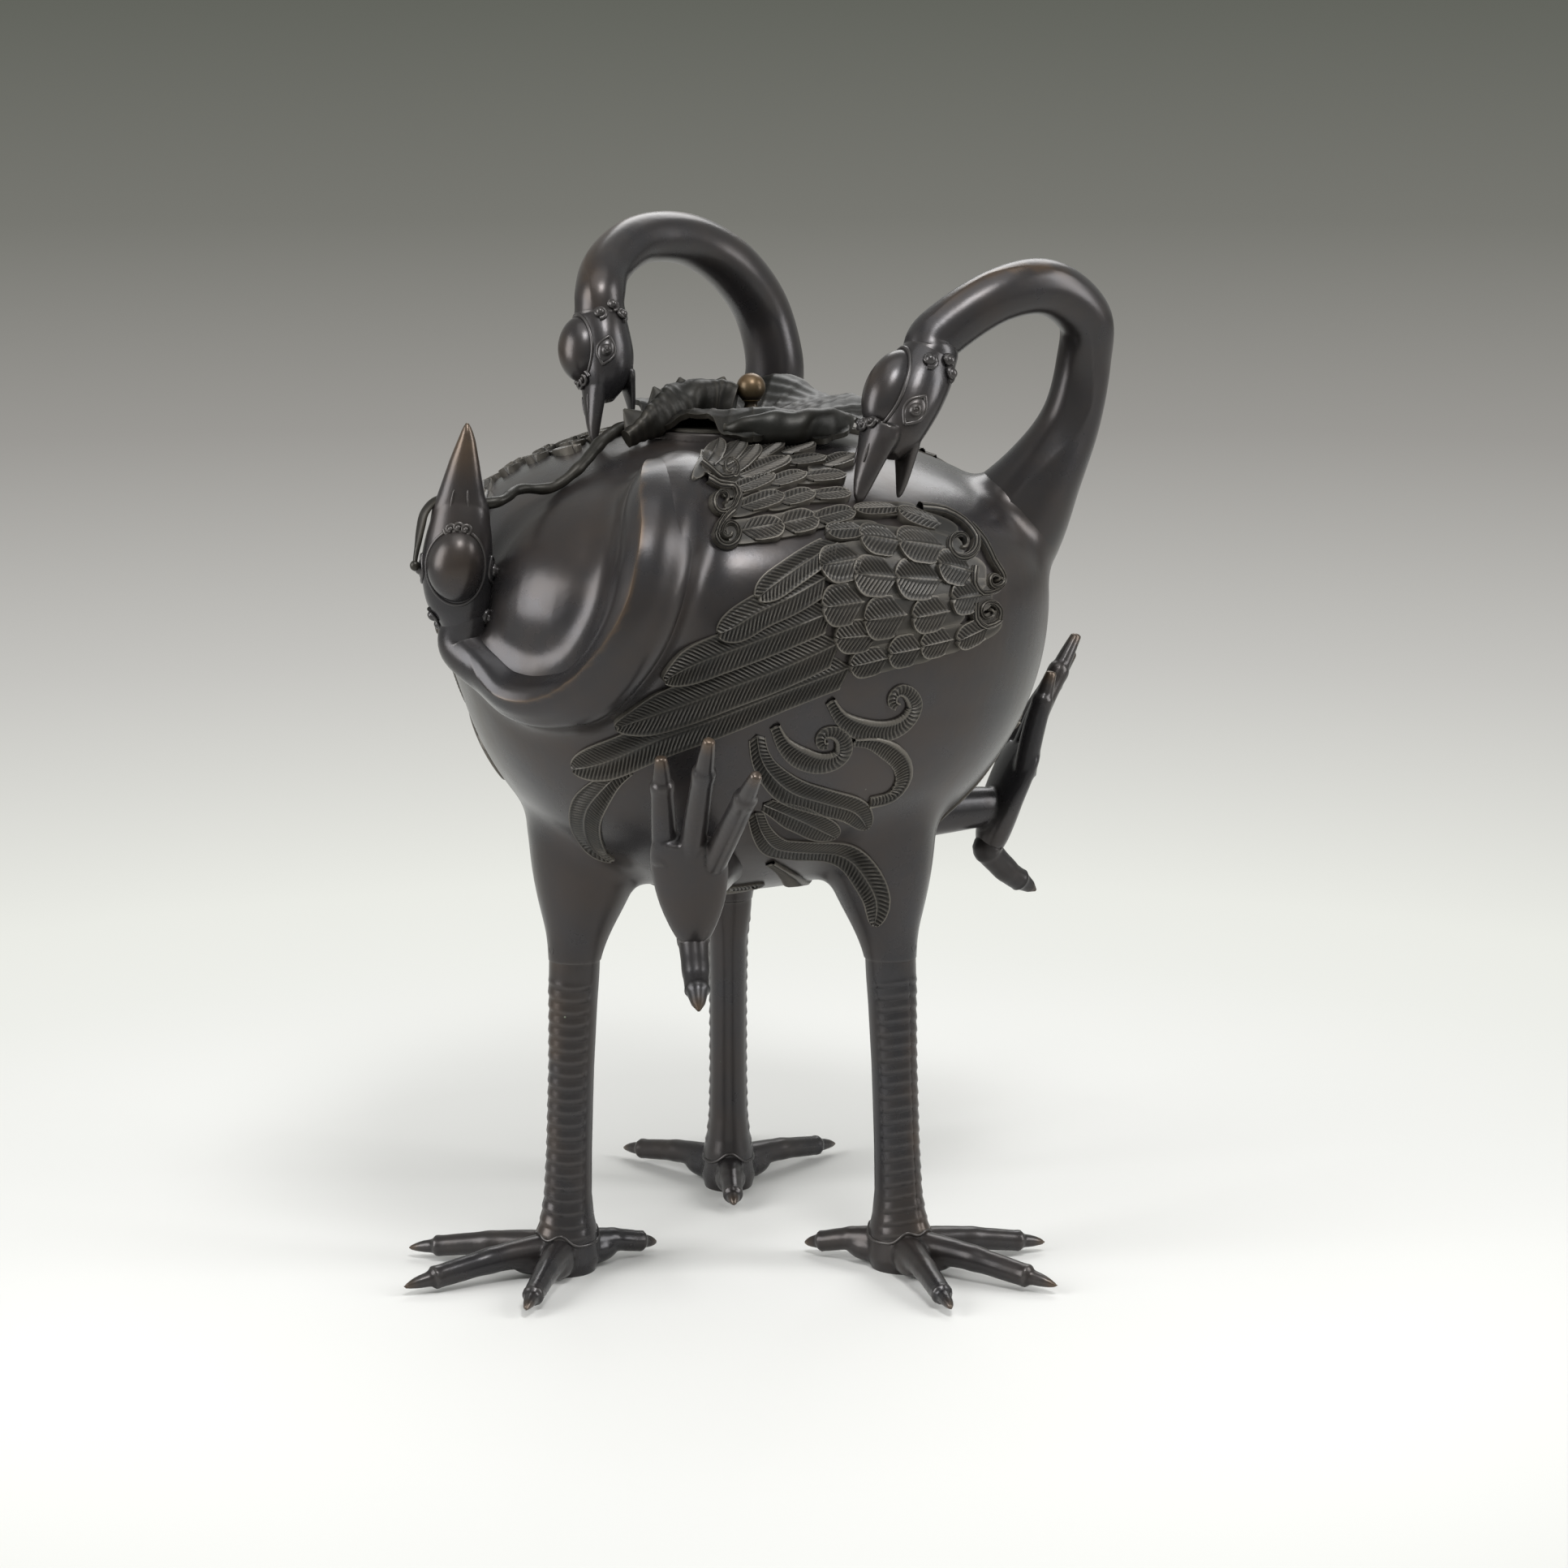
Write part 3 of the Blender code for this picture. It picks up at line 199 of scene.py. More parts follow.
def outward(azimuth):
    """The level way that points at this azimuth."""
    return polar(azimuth, 1.0, 0.0)


def ease(value, low=0.0, high=1.0):
    """From 0 at low to 1 at high, with soft ends."""
    share = min(max((value - low) / (high - low), 0.0), 1.0)
    return share * share * (3.0 - 2.0 * share)


def table(share, rows):
    """Straight-line reading of (share, value) rows."""
    for (low, first), (high, second) in zip(rows, rows[1:]):
        if share <= high:
            return first + (second - first) * (share - low) / (high - low)
    return rows[-1][1]


def smooth_path(points, steps):
    """Catmull-Rom points through the given vectors or numbers."""
    path = []
    last = len(points) - 1
    for i in range(last):
        before, start = points[max(i - 1, 0)], points[i]
        end, after = points[i + 1], points[min(i + 2, last)]
        for k in range(steps):
            t = k / steps
            path.append(0.5 * (2 * start + (end - before) * t
                               + (2 * before - 5 * start + 4 * end - after) * t * t
                               + (3 * start - before - 3 * end + after) * t ** 3))
    path.append(points[last])
    return path


def even_path(path, count):
    """The same path as count + 1 points at even distances."""
    runs = [0.0]
    for near, far in zip(path, path[1:]):
        runs.append(runs[-1] + (far - near).length)
    points = []
    i = 0
    for k in range(count + 1):
        run = runs[-1] * k / count
        while i < len(path) - 2 and runs[i + 1] < run:
            i += 1
        span = max(runs[i + 1] - runs[i], 1e-9)
        points.append(path[i].lerp(path[i + 1], min((run - runs[i]) / span, 1.0)))
    return points


def even_values(values, count):
    """The same run of values, read at count + 1 even steps."""
    last = len(values) - 1
    return [values[round(last * k / count)] for k in range(count + 1)]


def path_length(path):
    """The length along the points of a path."""
    return sum((far - near).length for near, far in zip(path, path[1:]))


def surface(columns, rows, place):
    """A grid whose point (u, v), each from 0 to 1, lies at place(u, v); meeting edges are joined."""
    bm = bmesh.new()
    bmesh.ops.create_grid(bm, x_segments=columns, y_segments=rows, size=0.5)
    for vert in bm.verts:
        vert.co = place(vert.co.x + 0.5, vert.co.y + 0.5)
    bmesh.ops.remove_doubles(bm, verts=bm.verts, dist=2e-6)
    return bm


def frames_along(path, side_hint):
    """Tangent, side and upward way at each point of a path, carried along it without twist."""
    frames = []
    side = side_hint
    for i in range(len(path)):
        ahead, behind = path[min(i + 1, len(path) - 1)], path[max(i - 1, 0)]
        tangent = (ahead - behind).normalized()
        side = (side - tangent * side.dot(tangent)).normalized()
        frames.append((tangent, side, tangent.cross(side).normalized()))
    return frames


def tube(path, half, around, side_hint, starts=None):
    """A closed swept body; half(share, turn) gives its half width to the side and upwards. The
    first column of faces runs along the turns in starts, so that a ridge there stays crisp."""
    frames = frames_along(path, side_hint)
    last = len(path) - 1

    def place(u, v):
        row = round(v * (last + 2)) - 1
        centre = path[min(max(row, 0), last)]
        if row < 0 or row > last:
            return centre
        turn = 2 * math.pi * u + (starts[row] if starts else 0.0)
        across, rise = half(row / last, turn)
        side, up = frames[row][1:]
        return centre + side * (across * math.cos(turn)) + up * (rise * math.sin(turn))
    return surface(around, last + 2, place)


def round_bar(path, radii, around, side_hint=UP):
    """A tube of round section whose radius is given for each point."""
    last = len(path) - 1
    return tube(path, lambda share, turn: (radii[round(share * last)],) * 2, around, side_hint)


def egg(centre, axes, halves, around, rows):
    """An ellipsoid; axes are three unit vectors and halves the half sizes along them."""
    def place(u, v):
        turn, rise = 2 * math.pi * u, math.pi * (v - 0.5)
        spot = (math.cos(rise) * math.cos(turn), math.cos(rise) * math.sin(turn), math.sin(rise))
        steps = (axis * half * share for axis, half, share in zip(axes, halves, spot))
        return centre + sum(steps, Vector())
    return surface(around, rows, place)


def mesh_of(bm, name="form"):
    """Turn a bmesh into mesh data and free it."""
    mesh = bpy.data.meshes.new(name)
    bm.to_mesh(mesh)
    bm.free()
    return mesh


def put(name, data):
    """A new object in the scene."""
    obj = bpy.data.objects.new(name, data)
    bpy.context.scene.collection.objects.link(obj)
    return obj


def take_result(obj, *tools):
    """What an object's modifiers make of it, as a bmesh; the object and its tools go."""
    result = bmesh.new()
    result.from_object(obj, bpy.context.evaluated_depsgraph_get())
    for used in (obj, *tools):
        mesh = used.data
        bpy.data.objects.remove(used)
        bpy.data.meshes.remove(mesh)
    return result


def join(target, *others):
    """Move the geometry of other bmeshes into the target."""
    for other in others:
        mesh = mesh_of(other)
        target.from_mesh(mesh)
        bpy.data.meshes.remove(mesh)
    return target


def melt(bm, voxel, rounds):
    """Run overlapping forms together as cast metal does, then smooth the joins."""
    bmesh.ops.recalc_face_normals(bm, faces=bm.faces)
    obj = put("melt", mesh_of(bm))
    remesh = obj.modifiers.new("remesh", "REMESH")
    remesh.mode = "VOXEL"
    remesh.voxel_size = voxel
    relax = obj.modifiers.new("relax", "SMOOTH")
    relax.factor = 0.5
    relax.iterations = rounds
    return take_result(obj)


def cut_below(bm, z, dist=0.0):
    """Cut a form off flat and close it."""
    bmesh.ops.bisect_plane(bm, geom=bm.verts[:] + bm.edges[:] + bm.faces[:], dist=dist,
                           plane_co=(0, 0, z), plane_no=(0, 0, -1), clear_outer=True)
    bmesh.ops.holes_fill(bm, edges=[edge for edge in bm.edges if edge.is_boundary], sides=0)


# Bend per metre at which an edge or hollow counts as sharp
SHARP_BEND = 220.0


def mark_wear(mesh, rub):
    """Store how convex the surface is at each point, and how far hands have rubbed it."""
    count = len(mesh.vertices)
    places = np.empty(count * 3, np.float32)
    mesh.vertices.foreach_get("co", places)
    normals = np.empty(count * 3, np.float32)
    mesh.vertex_normals.foreach_get("vector", normals)
    ends = np.empty(len(mesh.edges) * 2, np.int32)
    mesh.edges.foreach_get("vertices", ends)
    places, normals, ends = places.reshape(-1, 3), normals.reshape(-1, 3), ends.reshape(-1, 2)
    near, far = ends[:, 0], ends[:, 1]
    step = places[far] - places[near]
    square = (step ** 2).sum(1) + 1e-10
    bend = np.zeros(count)
    np.add.at(bend, near, -(step * normals[near]).sum(1) / square)
    np.add.at(bend, far, (step * normals[far]).sum(1) / square)
    degree = np.bincount(ends.ravel(), minlength=count) + 1e-9
    bend /= degree
    spread = np.zeros(count)
    np.add.at(spread, near, bend[far])
    np.add.at(spread, far, bend[near])
    bend = 0.5 * bend + 0.5 * spread / degree
    wear = mesh.attributes.new("wear", "FLOAT", "POINT")
    wear.data.foreach_set("value", np.tanh(bend / SHARP_BEND).astype(np.float32))
    rubbed = mesh.attributes.new("rub", "FLOAT", "POINT")
    if rub:
        points = zip(places, normals)
        values = [rub(Vector(place) - AXIS, Vector(normal)) for place, normal in points]
        rubbed.data.foreach_set("value", np.clip(values, 0.0, 1.0).astype(np.float32))


def piece(bm, name, slot, body="burner", stands_for=(), rub=None, sharp=50.0):
    """Turn a bmesh into a finished piece of the burner, in the frame's own place."""
    bmesh.ops.recalc_face_normals(bm, faces=bm.faces)
    bmesh.ops.translate(bm, verts=bm.verts, vec=AXIS)
    mesh = mesh_of(bm, name)
    mesh.shade_smooth()
    mesh.set_sharp_from_angle(angle=math.radians(sharp))
    mesh.materials.append(FINISHES[slot])
    mark_wear(mesh, rub)
    obj = put(name, mesh)
    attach(obj, body)
    if stands_for:
        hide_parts(*stands_for)


# Bowl

def gap_of(turn, middle, full=360.0):
    """Signed turn from the middle, the short way round."""
    return (turn - middle + full / 2) % full - full / 2


def breast_share(azimuth):
    """1 over a breast, 0 in the valley between two."""
    turn = gap_of(azimuth, CRANES["front"], 120.0)
    return math.cos(math.radians(1.5 * turn)) ** 2


def bowl_radius(azimuth, z):
    """Distance of the bowl's skin from its axis."""
    dome, depth = CROWN_Z - WIDE_Z, WIDE_Z - BELLY_Z
    rise = (z - WIDE_Z) / (dome if z > WIDE_Z else depth)
    if abs(rise) >= 1.0:
        return 0.0
    level = math.sqrt(1.0 - abs(rise) ** (DOME_POWER if z > WIDE_Z else 2.0))
    shoulder = min(max((z - WIDE_Z) / dome + 0.5, 0.0), 1.0)
    valley = WAIST_R + (SHOULDER_R - WAIST_R) * shoulder
    return (valley + (BREAST_R - valley) * breast_share(azimuth)) * level


# The front crane's breast swells inside the bend of its neck: rise, middle and half size
BREAST_SWELL = 0.0065
BREAST_TURN, BREAST_Z = -34.0, 0.343
BREAST_HALF_TURN, BREAST_HALF_Z = 15.0, 0.046


def breast_swell(azimuth, z):
    """How far the front crane's breast stands out over the rest of the skin."""
    across = gap_of(azimuth, BREAST_TURN)
    reach = (across / BREAST_HALF_TURN) ** 2 + ((z - BREAST_Z) / BREAST_HALF_Z) ** 2
    return BREAST_SWELL * max(1.0 - reach, 0.0) ** 0.8


def bowl_skin(grow=0.0, columns=150, rows=96):
    """The closed skin of the bowl, moved outwards by grow; its two poles stay closed."""
    def place(u, v):
        azimuth = 360.0 * u
        rise = -math.cos(math.pi * v)
        z = WIDE_Z + rise * ((CROWN_Z - WIDE_Z) if rise > 0 else (WIDE_Z - BELLY_Z))
        out = bowl_radius(azimuth, z)
        if out > 0.002:
            out += breast_swell(azimuth, z) + grow
        return polar(azimuth, out, z + grow * rise)
    return surface(columns, rows, place)


def leg_centre(facing, z):
    """The middle of the standing leg at this height."""
    return polar(facing + LEG_TURN, LEG_CIRCLE_R - LEG_LEAN * z / LEG_TOP_Z, z)


# Height over the leg's top, radius and drift towards the axis. The first row is below the joint,
# where the thigh is cut off flat later.
THIGH = ((-0.010, 0.0118, -0.0004),
         (0.000, 0.0125, 0.0000), (0.012, 0.0150, 0.0015), (0.030, 0.0215, 0.0040),
         (0.050, 0.0280, 0.0075), (0.072, 0.0360, 0.0140), (0.100, 0.0430, 0.0280))


def thigh(facing):
    """The upper leg, which swells into the belly."""
    inward = outward(facing + LEG_TURN) * -1
    top = leg_centre(facing, LEG_TOP_Z)
    path = smooth_path([top + UP * rise + inward * drift for rise, radius, drift in THIGH], 4)
    radii = smooth_path([radius for rise, radius, drift in THIGH], 4)
    return round_bar(path, radii, 40, outward(facing + LEG_TURN + 90))


# Necks: azimuth, distance outside the breast radius, height over the dome's crown, radius
NECKS = {
    "front": ((-12.0, -0.079, -0.030, 0.0190), (-14.5, -0.053, -0.023, 0.0200),
              (-15.0, -0.026, -0.030, 0.0195), (-14.5, -0.005, -0.049, 0.0180),
              (-17.0, 0.004, -0.075, 0.0165), (-23.5, 0.005, -0.099, 0.0145),
              (-31.5, 0.004, -0.107, 0.0128), (-38.8, 0.004, -0.1065, 0.0116),
              (-45.0, 0.003, -0.0985, 0.0111), (-50.8, 0.0055, -0.0785, 0.0106)),
    "right": ((88.0, -0.040, -0.062, 0.0330), (85.5, -0.021, -0.047, 0.0290),
              (84.7, -0.003, -0.020, 0.0195), (85.5, 0.009, 0.004, 0.0146),
              (85.2, 0.0145, 0.030, 0.0132), (82.4, 0.0145, 0.0525, 0.0130),
              (76.4, -0.002, 0.067, 0.0134), (68.2, -0.022, 0.0632, 0.0128),
              (56.0, -0.0425, 0.0385, 0.0121)),
    "rear": ((183.0, -0.040, -0.062, 0.0330), (178.0, -0.024, -0.040, 0.0270),
             (172.0, -0.029, -0.012, 0.0185), (167.8, -0.036, 0.014, 0.0150),
             (170.3, -0.041, 0.044, 0.0143), (177.2, -0.056, 0.066, 0.0140),
             (188.4, -0.070, 0.079, 0.0132), (204.3, -0.083, 0.0845, 0.0125),
             (226.5, -0.0895, 0.083, 0.0120), (251.0, -0.0905, 0.073, 0.0119),
             (269.0, -0.0905, 0.0520, 0.0115)),
}
# Which way each beak points and each crown faces. Before its head a neck runs straight for the
# length of NAPE_RUN and is a little thicker.
BEAK_WAYS = {"front": (0.03, -0.06, 1.0), "right": (-0.40, -0.40, -0.85), "rear": (0.0, -0.32, -1.0)}
CROWN_WAYS = {"front": (-0.03, -1.0, 0.0), "right": (-0.75, -0.30, 0.45), "rear": (-0.93, -0.36, 0.0)}
NAPE_RUN, NAPE_SWELL = 0.010, 1.06
NECK_STEPS = 10


def beak_way(crane):
    """The way in which a crane's beak points."""
    return Vector(BEAK_WAYS[crane]).normalized()


def neck_line(crane):
    """Points along the middle of a neck, from its root to its head, and the radius at each."""
    rows = NECKS[crane]
    points = [polar(row[0], BREAST_R + row[1], CROWN_Z + row[2]) for row in rows]
    sizes = [row[3] for row in rows]
    points.insert(-1, points[-1] - beak_way(crane) * NAPE_RUN)
    sizes.insert(-1, sizes[-1] * NAPE_SWELL)
    return smooth_path(points, NECK_STEPS), smooth_path(sizes, NECK_STEPS)


def neck_root(crane, share, first, last, sink=0.0):
    """This share of a neck, to run into the bowl. Its radius differs from the neck's own by the
    first value at the root and by the last at its end, so that the castings meet along a seam."""
    path, radii = neck_line(crane)
    count = int(len(path) * share)
    points, sizes = [], []
    for i in range(count):
        centre = path[i]
        points.append(centre - Vector((centre.x, centre.y, 0)).normalized() * sink)
        sizes.append(radii[i] + first + (last - first) * i / (count - 1))
    return round_bar(points, sizes, 40)


def fill_hollows(bm, rounds):
    """Run metal into the creases: points move outwards wherever the surface is hollow, and all
    move a little along it towards the middle of their neighbours."""
    mesh = mesh_of(bm)
    count = len(mesh.vertices)
    ends = np.empty(len(mesh.edges) * 2, np.int32)
    mesh.edges.foreach_get("vertices", ends)
    near, far = ends[0::2], ends[1::2]
    degree = np.bincount(ends, minlength=count)[:, None]
    places = np.empty(count * 3, np.float32)
    mesh.vertices.foreach_get("co", places)
    places = places.reshape(-1, 3)
    normals = np.empty(count * 3, np.float32)
    for step in range(rounds):
        if step % 5 == 0:
            mesh.vertices.foreach_set("co", places.ravel())
            mesh.update()
            mesh.vertex_normals.foreach_get("vector", normals)
            facing = normals.reshape(-1, 3)
        total = np.zeros_like(places)
        for axis in range(3):
            total[:, axis] = (np.bincount(near, places[far, axis], count)
                              + np.bincount(far, places[near, axis], count))
        pull = total / degree - places
        rise = (pull * facing).sum(1)
        outwards = np.clip(rise, 0.0, None)[:, None]
        places = places + facing * outwards * 0.8 + (pull - facing * rise[:, None]) * 0.2
    mesh.vertices.foreach_set("co", places.ravel())
    filled = bmesh.new()
    filled.from_mesh(mesh)
    bpy.data.meshes.remove(mesh)
    return filled


def cast_bowl():
    """Bowl, thighs and the roots of the necks as one run of metal, not yet hollow."""
    bm = bowl_skin()
    join(bm, *[thigh(facing) for facing in CRANES.values()])
    join(bm, neck_root("right", 0.26, 0.0012, -0.0022), neck_root("rear", 0.20, 0.0012, -0.0022))
    join(bm, neck_root("front", 0.93, 0.0016, 0.0012, 0.0050))
    bm = fill_hollows(melt(bm, 0.0019, 4), 60)
    cut_below(bm, LEG_TOP_Z + JOINT, 1e-6)
    return bm


def make_vessel(bm):
    """Hollow the cast bowl, cut its mouth and set the collar."""
    bevel = 0.0006
    collar = round_bar(upright(RIM_Z - COLLAR_DEPTH, RIM_Z - bevel, RIM_Z),
                       [COLLAR_R, COLLAR_R, COLLAR_R - bevel], 96, X_AXIS)
    mouth = round_bar(upright(WIDE_Z, RIM_Z + 0.02), [MOUTH_R, MOUTH_R], 96, X_AXIS)
    bowl = put("bowl", mesh_of(bm))
    tools = []
    for name, form, action in (("collar", collar, "UNION"),
                               ("hollow", bowl_skin(-WALL, 72, 40), "DIFFERENCE"),
                               ("mouth", mouth, "DIFFERENCE")):
        bmesh.ops.recalc_face_normals(form, faces=form.faces)
        tools.append(put(name, mesh_of(form)))
        cutter = bowl.modifiers.new(name, "BOOLEAN")
        cutter.operation = action
        cutter.object = tools[-1]
    casting = take_result(bowl, *tools)
    piece(casting, "vessel_casting", "patinated_bronze", stands_for=("vessel",), rub=body_rub,
          sharp=40.0)


def upright(*heights):
    """A path up the bowl's axis."""
    return [Vector((0, 0, z)) for z in heights]


def body_rub(place, normal):
    """Hands polish the bowl a little, and the thighs less towards their lower ends."""
    return 0.03 * ease(place.z, 0.15, 0.20)


SKIN = cast_bowl()
SKIN_TREE = BVHTree.FromBMesh(SKIN)


# Reading places from the photograph

def photo_ray(column, row):
    """Start and way of the camera's ray through a pixel of the photograph."""
    half = PHOTO_SIDE / 2
    way = Vector(((column - half) / FOCAL_PIXELS, (half - row) / FOCAL_PIXELS, -1.0))
    return CAMERA_PLACE, (CAMERA_TURN.to_matrix() @ way).normalized()


def on_skin(column, row):
    """Where a pixel of the photograph lies on the bowl."""
    start, way = photo_ray(column, row)
    hit = SKIN_TREE.ray_cast(start, way)[0]
    if hit is None:
        near = start + way * (-start.dot(way))
        hit = SKIN_TREE.find_nearest(near)[0]
    return hit


def spine_of(pixels, angle, steps=5):
    """A smooth line on the bowl through pixels of the photograph, turned round the axis to the
    same place on another crane."""
    spin = Matrix.Rotation(math.radians(angle), 3, "Z")
    return [spin @ point for point in smooth_path([on_skin(*pixel) for pixel in pixels], steps)]


# Strips that lie on the bowl

TRACK = 120              # steps along a strip's spine at which the surface is looked up


def ribbon(bm, tree, spine, pitch, across, half_width, height, lean=0.0):
    """Lay a strip on a surface. across holds the columns from -1 to 1, half_width(share) the
    half width, height(share, column, row) the rise. Rows slant towards the tip by lean, and each
    stops where it meets the strip's outline."""
    length = path_length(spine)
    rows = max(int(length / pitch), 6)
    track = []
    centres = even_path(spine, TRACK)
    for i, centre in enumerate(centres):
        ahead = (centres[min(i + 1, TRACK)] - centres[max(i - 1, 0)]).normalized()
        track.append((centre, ahead.cross(tree.find_nearest(centre)[1]).normalized()))

    def reach_of(run):
        """Half the row's width, found by halving: the row slants, so the outline is met ahead."""
        low, high = 0.0, 0.04
        for halving in range(14):
            middle = (low + high) / 2
            if half_width(min((run + lean * middle) / length, 1.0)) > middle:
                low = middle
            else:
                high = middle
        return low
    reaches = [reach_of(length * row / rows) for row in range(rows + 1)]
    made = bmesh.ops.create_grid(bm, x_segments=len(across) - 1, y_segments=rows, size=0.5)["verts"]
    for vert in made:
        column = round((vert.co.x + 0.5) * (len(across) - 1))
        row = round((vert.co.y + 0.5) * rows)
        out = across[column] * reaches[row]
        share = min(row / rows + lean * abs(out) / length, 1.0)
        i = min(int(share * TRACK), TRACK - 1)
        centre = track[i][0].lerp(track[i + 1][0], share * TRACK - i)
        side = track[i][1].lerp(track[i + 1][1], share * TRACK - i)
        place, normal = tree.find_nearest(centre + side * out)[:2]
        vert.co = place + normal * height(share, column, row)


# Columns of each kind of strip, from one edge at -1 to the other at 1. The first and the last
# column go down into the bowl.
FEATHER_ACROSS = (-1.0, -1.0, -0.94, -0.86, -0.66, -0.45, -0.25, -0.08, 0.0,
                  0.08, 0.25, 0.45, 0.66, 0.86, 0.94, 1.0, 1.0)
BED_ACROSS = (-1.0, -1.0, -0.6, 0.0, 0.6, 1.0, 1.0)
VOLUTE_ACROSS = (-1.0, -1.0, -0.8, -0.6, -0.4, -0.2, 0.0, 0.2, 0.4, 0.6, 0.8, 1.0, 1.0)
PLUME_ACROSS = (-1.0, -1.0, -0.82, -0.60, -0.45, -0.25, 0.1, 0.45, 0.8, 1.0, 1.0)
SUNK = -0.0005           # edges end this far under the bowl's skin
# Distance between a strip's rows: on a feather or plume, half the spacing of its barbs
BARB_PITCH, PLUME_PITCH, VOLUTE_PITCH, BED_PITCH = 0.00108, 0.0009, 0.0010, 0.0012
BARB_DEPTH, PLUME_BARB_DEPTH = 0.00036, 0.00032
VOLUTE_RIDGES, VOLUTE_DEPTH = 2, 0.0007
FEATHER_ROUND = 0.0005   # how much lower a feather's edge is than its middle
RIM_RISE = 0.00030
RACHIS_RISE = 0.00045
SHINGLE = 0.00050        # how far one side of a feather stands over the next row


def feather(bm, tree, spine, half_width, low, high, tilt=0.0, lean=0.80, tip=0.34, root=0.72):
    """One chased feather from its root to its rounded tip, with rim, rachis and barbs. It rises
    from low at its root to high at its tip, tilts to one side, and its barbs slant by lean."""
    last = len(FEATHER_ACROSS) - 1
    rachis = last // 2

    def width(share):
        spread = root + (1.0 - root) * ease(share, 0.0, 0.45)
        end = max((share - (1.0 - tip)) / tip, 0.0)
        return half_width * spread * math.sqrt(max(1.0 - end ** 2.2, 0.0))

    def height(share, column, row):
        if column in (0, last) or share >= 1.0:
            return SUNK
        across = FEATHER_ACROSS[column]
        rise = low + (high - low) * share + tilt * across - FEATHER_ROUND * across * across
        if column in (1, 2, last - 2, last - 1):
            return rise + RIM_RISE
        if column == rachis:
            return rise + RACHIS_RISE * (1.0 - 0.5 * share)
        barbs = BARB_DEPTH if row % 2 else -BARB_DEPTH
        return rise + barbs * (0.4 if abs(column - rachis) == 1 else 1.0)
    ribbon(bm, tree, spine, BARB_PITCH, FEATHER_ACROSS, width, height, lean)


def bed(bm, tree, spine, half_width, rise):
    """The plain raised ground that a feather lies on."""
    def width(share):
        return half_width * math.sqrt(max(1.0 - (2.0 * share - 1.0) ** 4, 0.0))

    def height(share, column, row):
        edge = column in (0, len(BED_ACROSS) - 1) or share in (0.0, 1.0)
        return SUNK if edge else rise
    ribbon(bm, tree, spine, BED_PITCH, BED_ACROSS, width, height)


def volute(bm, tree, spine, wide, narrow, rise):
    """A curled band of parallel ridges that tapers to its end."""
    def width(share):
        return wide + (narrow - wide) * share

    def height(share, column, row):
        if column in (0, len(VOLUTE_ACROSS) - 1) or share >= 1.0:
            return SUNK
        across = VOLUTE_ACROSS[column]
        ridge = 0.5 + 0.5 * math.cos(2 * math.pi * VOLUTE_RIDGES * across)
        fade = ease(1.0 - share, 0.0, 0.2)
        return rise * (1.0 - 0.45 * across ** 2) + VOLUTE_DEPTH * ridge * fade
    ribbon(bm, tree, spine, VOLUTE_PITCH, VOLUTE_ACROSS, width, height)


def plume(bm, tree, spine, wide, narrow, rise):
    """A curled tail plume: a smooth rib along one edge and short barbs across the rest. It is
    widest a third of the way along."""
    swell = 0.35

    def width(share):
        body = wide * (0.45 + 0.55 * ease(share, 0.0, swell))
        return body + (narrow - body) * ease(share, swell + 0.10, 1.05)

    def height(share, column, row):
        if column in (0, len(PLUME_ACROSS) - 1) or share >= 1.0:
            return SUNK
        if column in (2, 3):
            return rise * 1.2
        if column == 1:
            return rise * 0.75
        barbs = PLUME_BARB_DEPTH if row % 2 else -PLUME_BARB_DEPTH
        across = PLUME_ACROSS[column]
        return rise * (0.95 - 0.35 * max(across, 0.0)) + (barbs if across < 1.0 else 0.0)
    ribbon(bm, tree, spine, PLUME_PITCH, PLUME_ACROSS, width, height, 0.25)


def curl_points(column, row, start_radius, end_radius, start_angle, turns):
    """Pixels of a spiral; angles run clockwise on the photograph, 0 to the right."""
    steps = max(int(abs(turns) * 14), 6)
    points = []
    for k in range(steps + 1):
        share = k / steps
        radius = start_radius + (end_radius - start_radius) * share
        angle = math.radians(start_angle + 360.0 * turns * share)
        points.append((column + radius * math.cos(angle), row + radius * math.sin(angle)))
    return points


# Wings and plumes, read from the photograph in pixels. The short feathers: tip, root, half width.
LONG_COVERTS = (
    ((1173, 788), (1214, 770), 15), ((1129, 794), (1170, 786), 17), ((1090, 803), (1134, 796), 19),
    ((1044, 818), (1092, 808), 17), ((1026, 784), (1080, 780), 19), ((1167, 738), (1204, 733), 19),
    ((1119, 760), (1166, 752), 20), ((1061, 763), (1114, 756), 24), ((1010, 748), (1062, 741), 23),
    ((1150, 696), (1194, 706), 20), ((1099, 713), (1156, 716), 23), ((1048, 709), (1104, 713), 23),
    ((1008, 700), (1062, 690), 22), ((1102, 671), (1160, 677), 23), ((1056, 665), (1108, 671), 21),
    ((1016, 660), (1062, 655), 13), ((1103, 635), (1156, 650), 15), ((1050, 634), (1104, 630), 11),
)
# Long feathers: their spine from the root to the tip, and the half width
LONG_FLIGHTS = (
    (((1048, 820), (960, 853), (871, 888), (807, 911), (742, 938), (706, 945)), 24),
    (((1034, 790), (960, 823), (900, 845), (844, 866), (783, 885), (757, 893)), 25),
    (((1026, 752), (938, 786), (857, 816), (815, 836)), 22),
    (((1016, 712), (975, 735), (935, 753), (905, 771), (883, 781)), 19),
    (((1030, 672), (1010, 683), (975, 706), (945, 727), (931, 739)), 16),
)
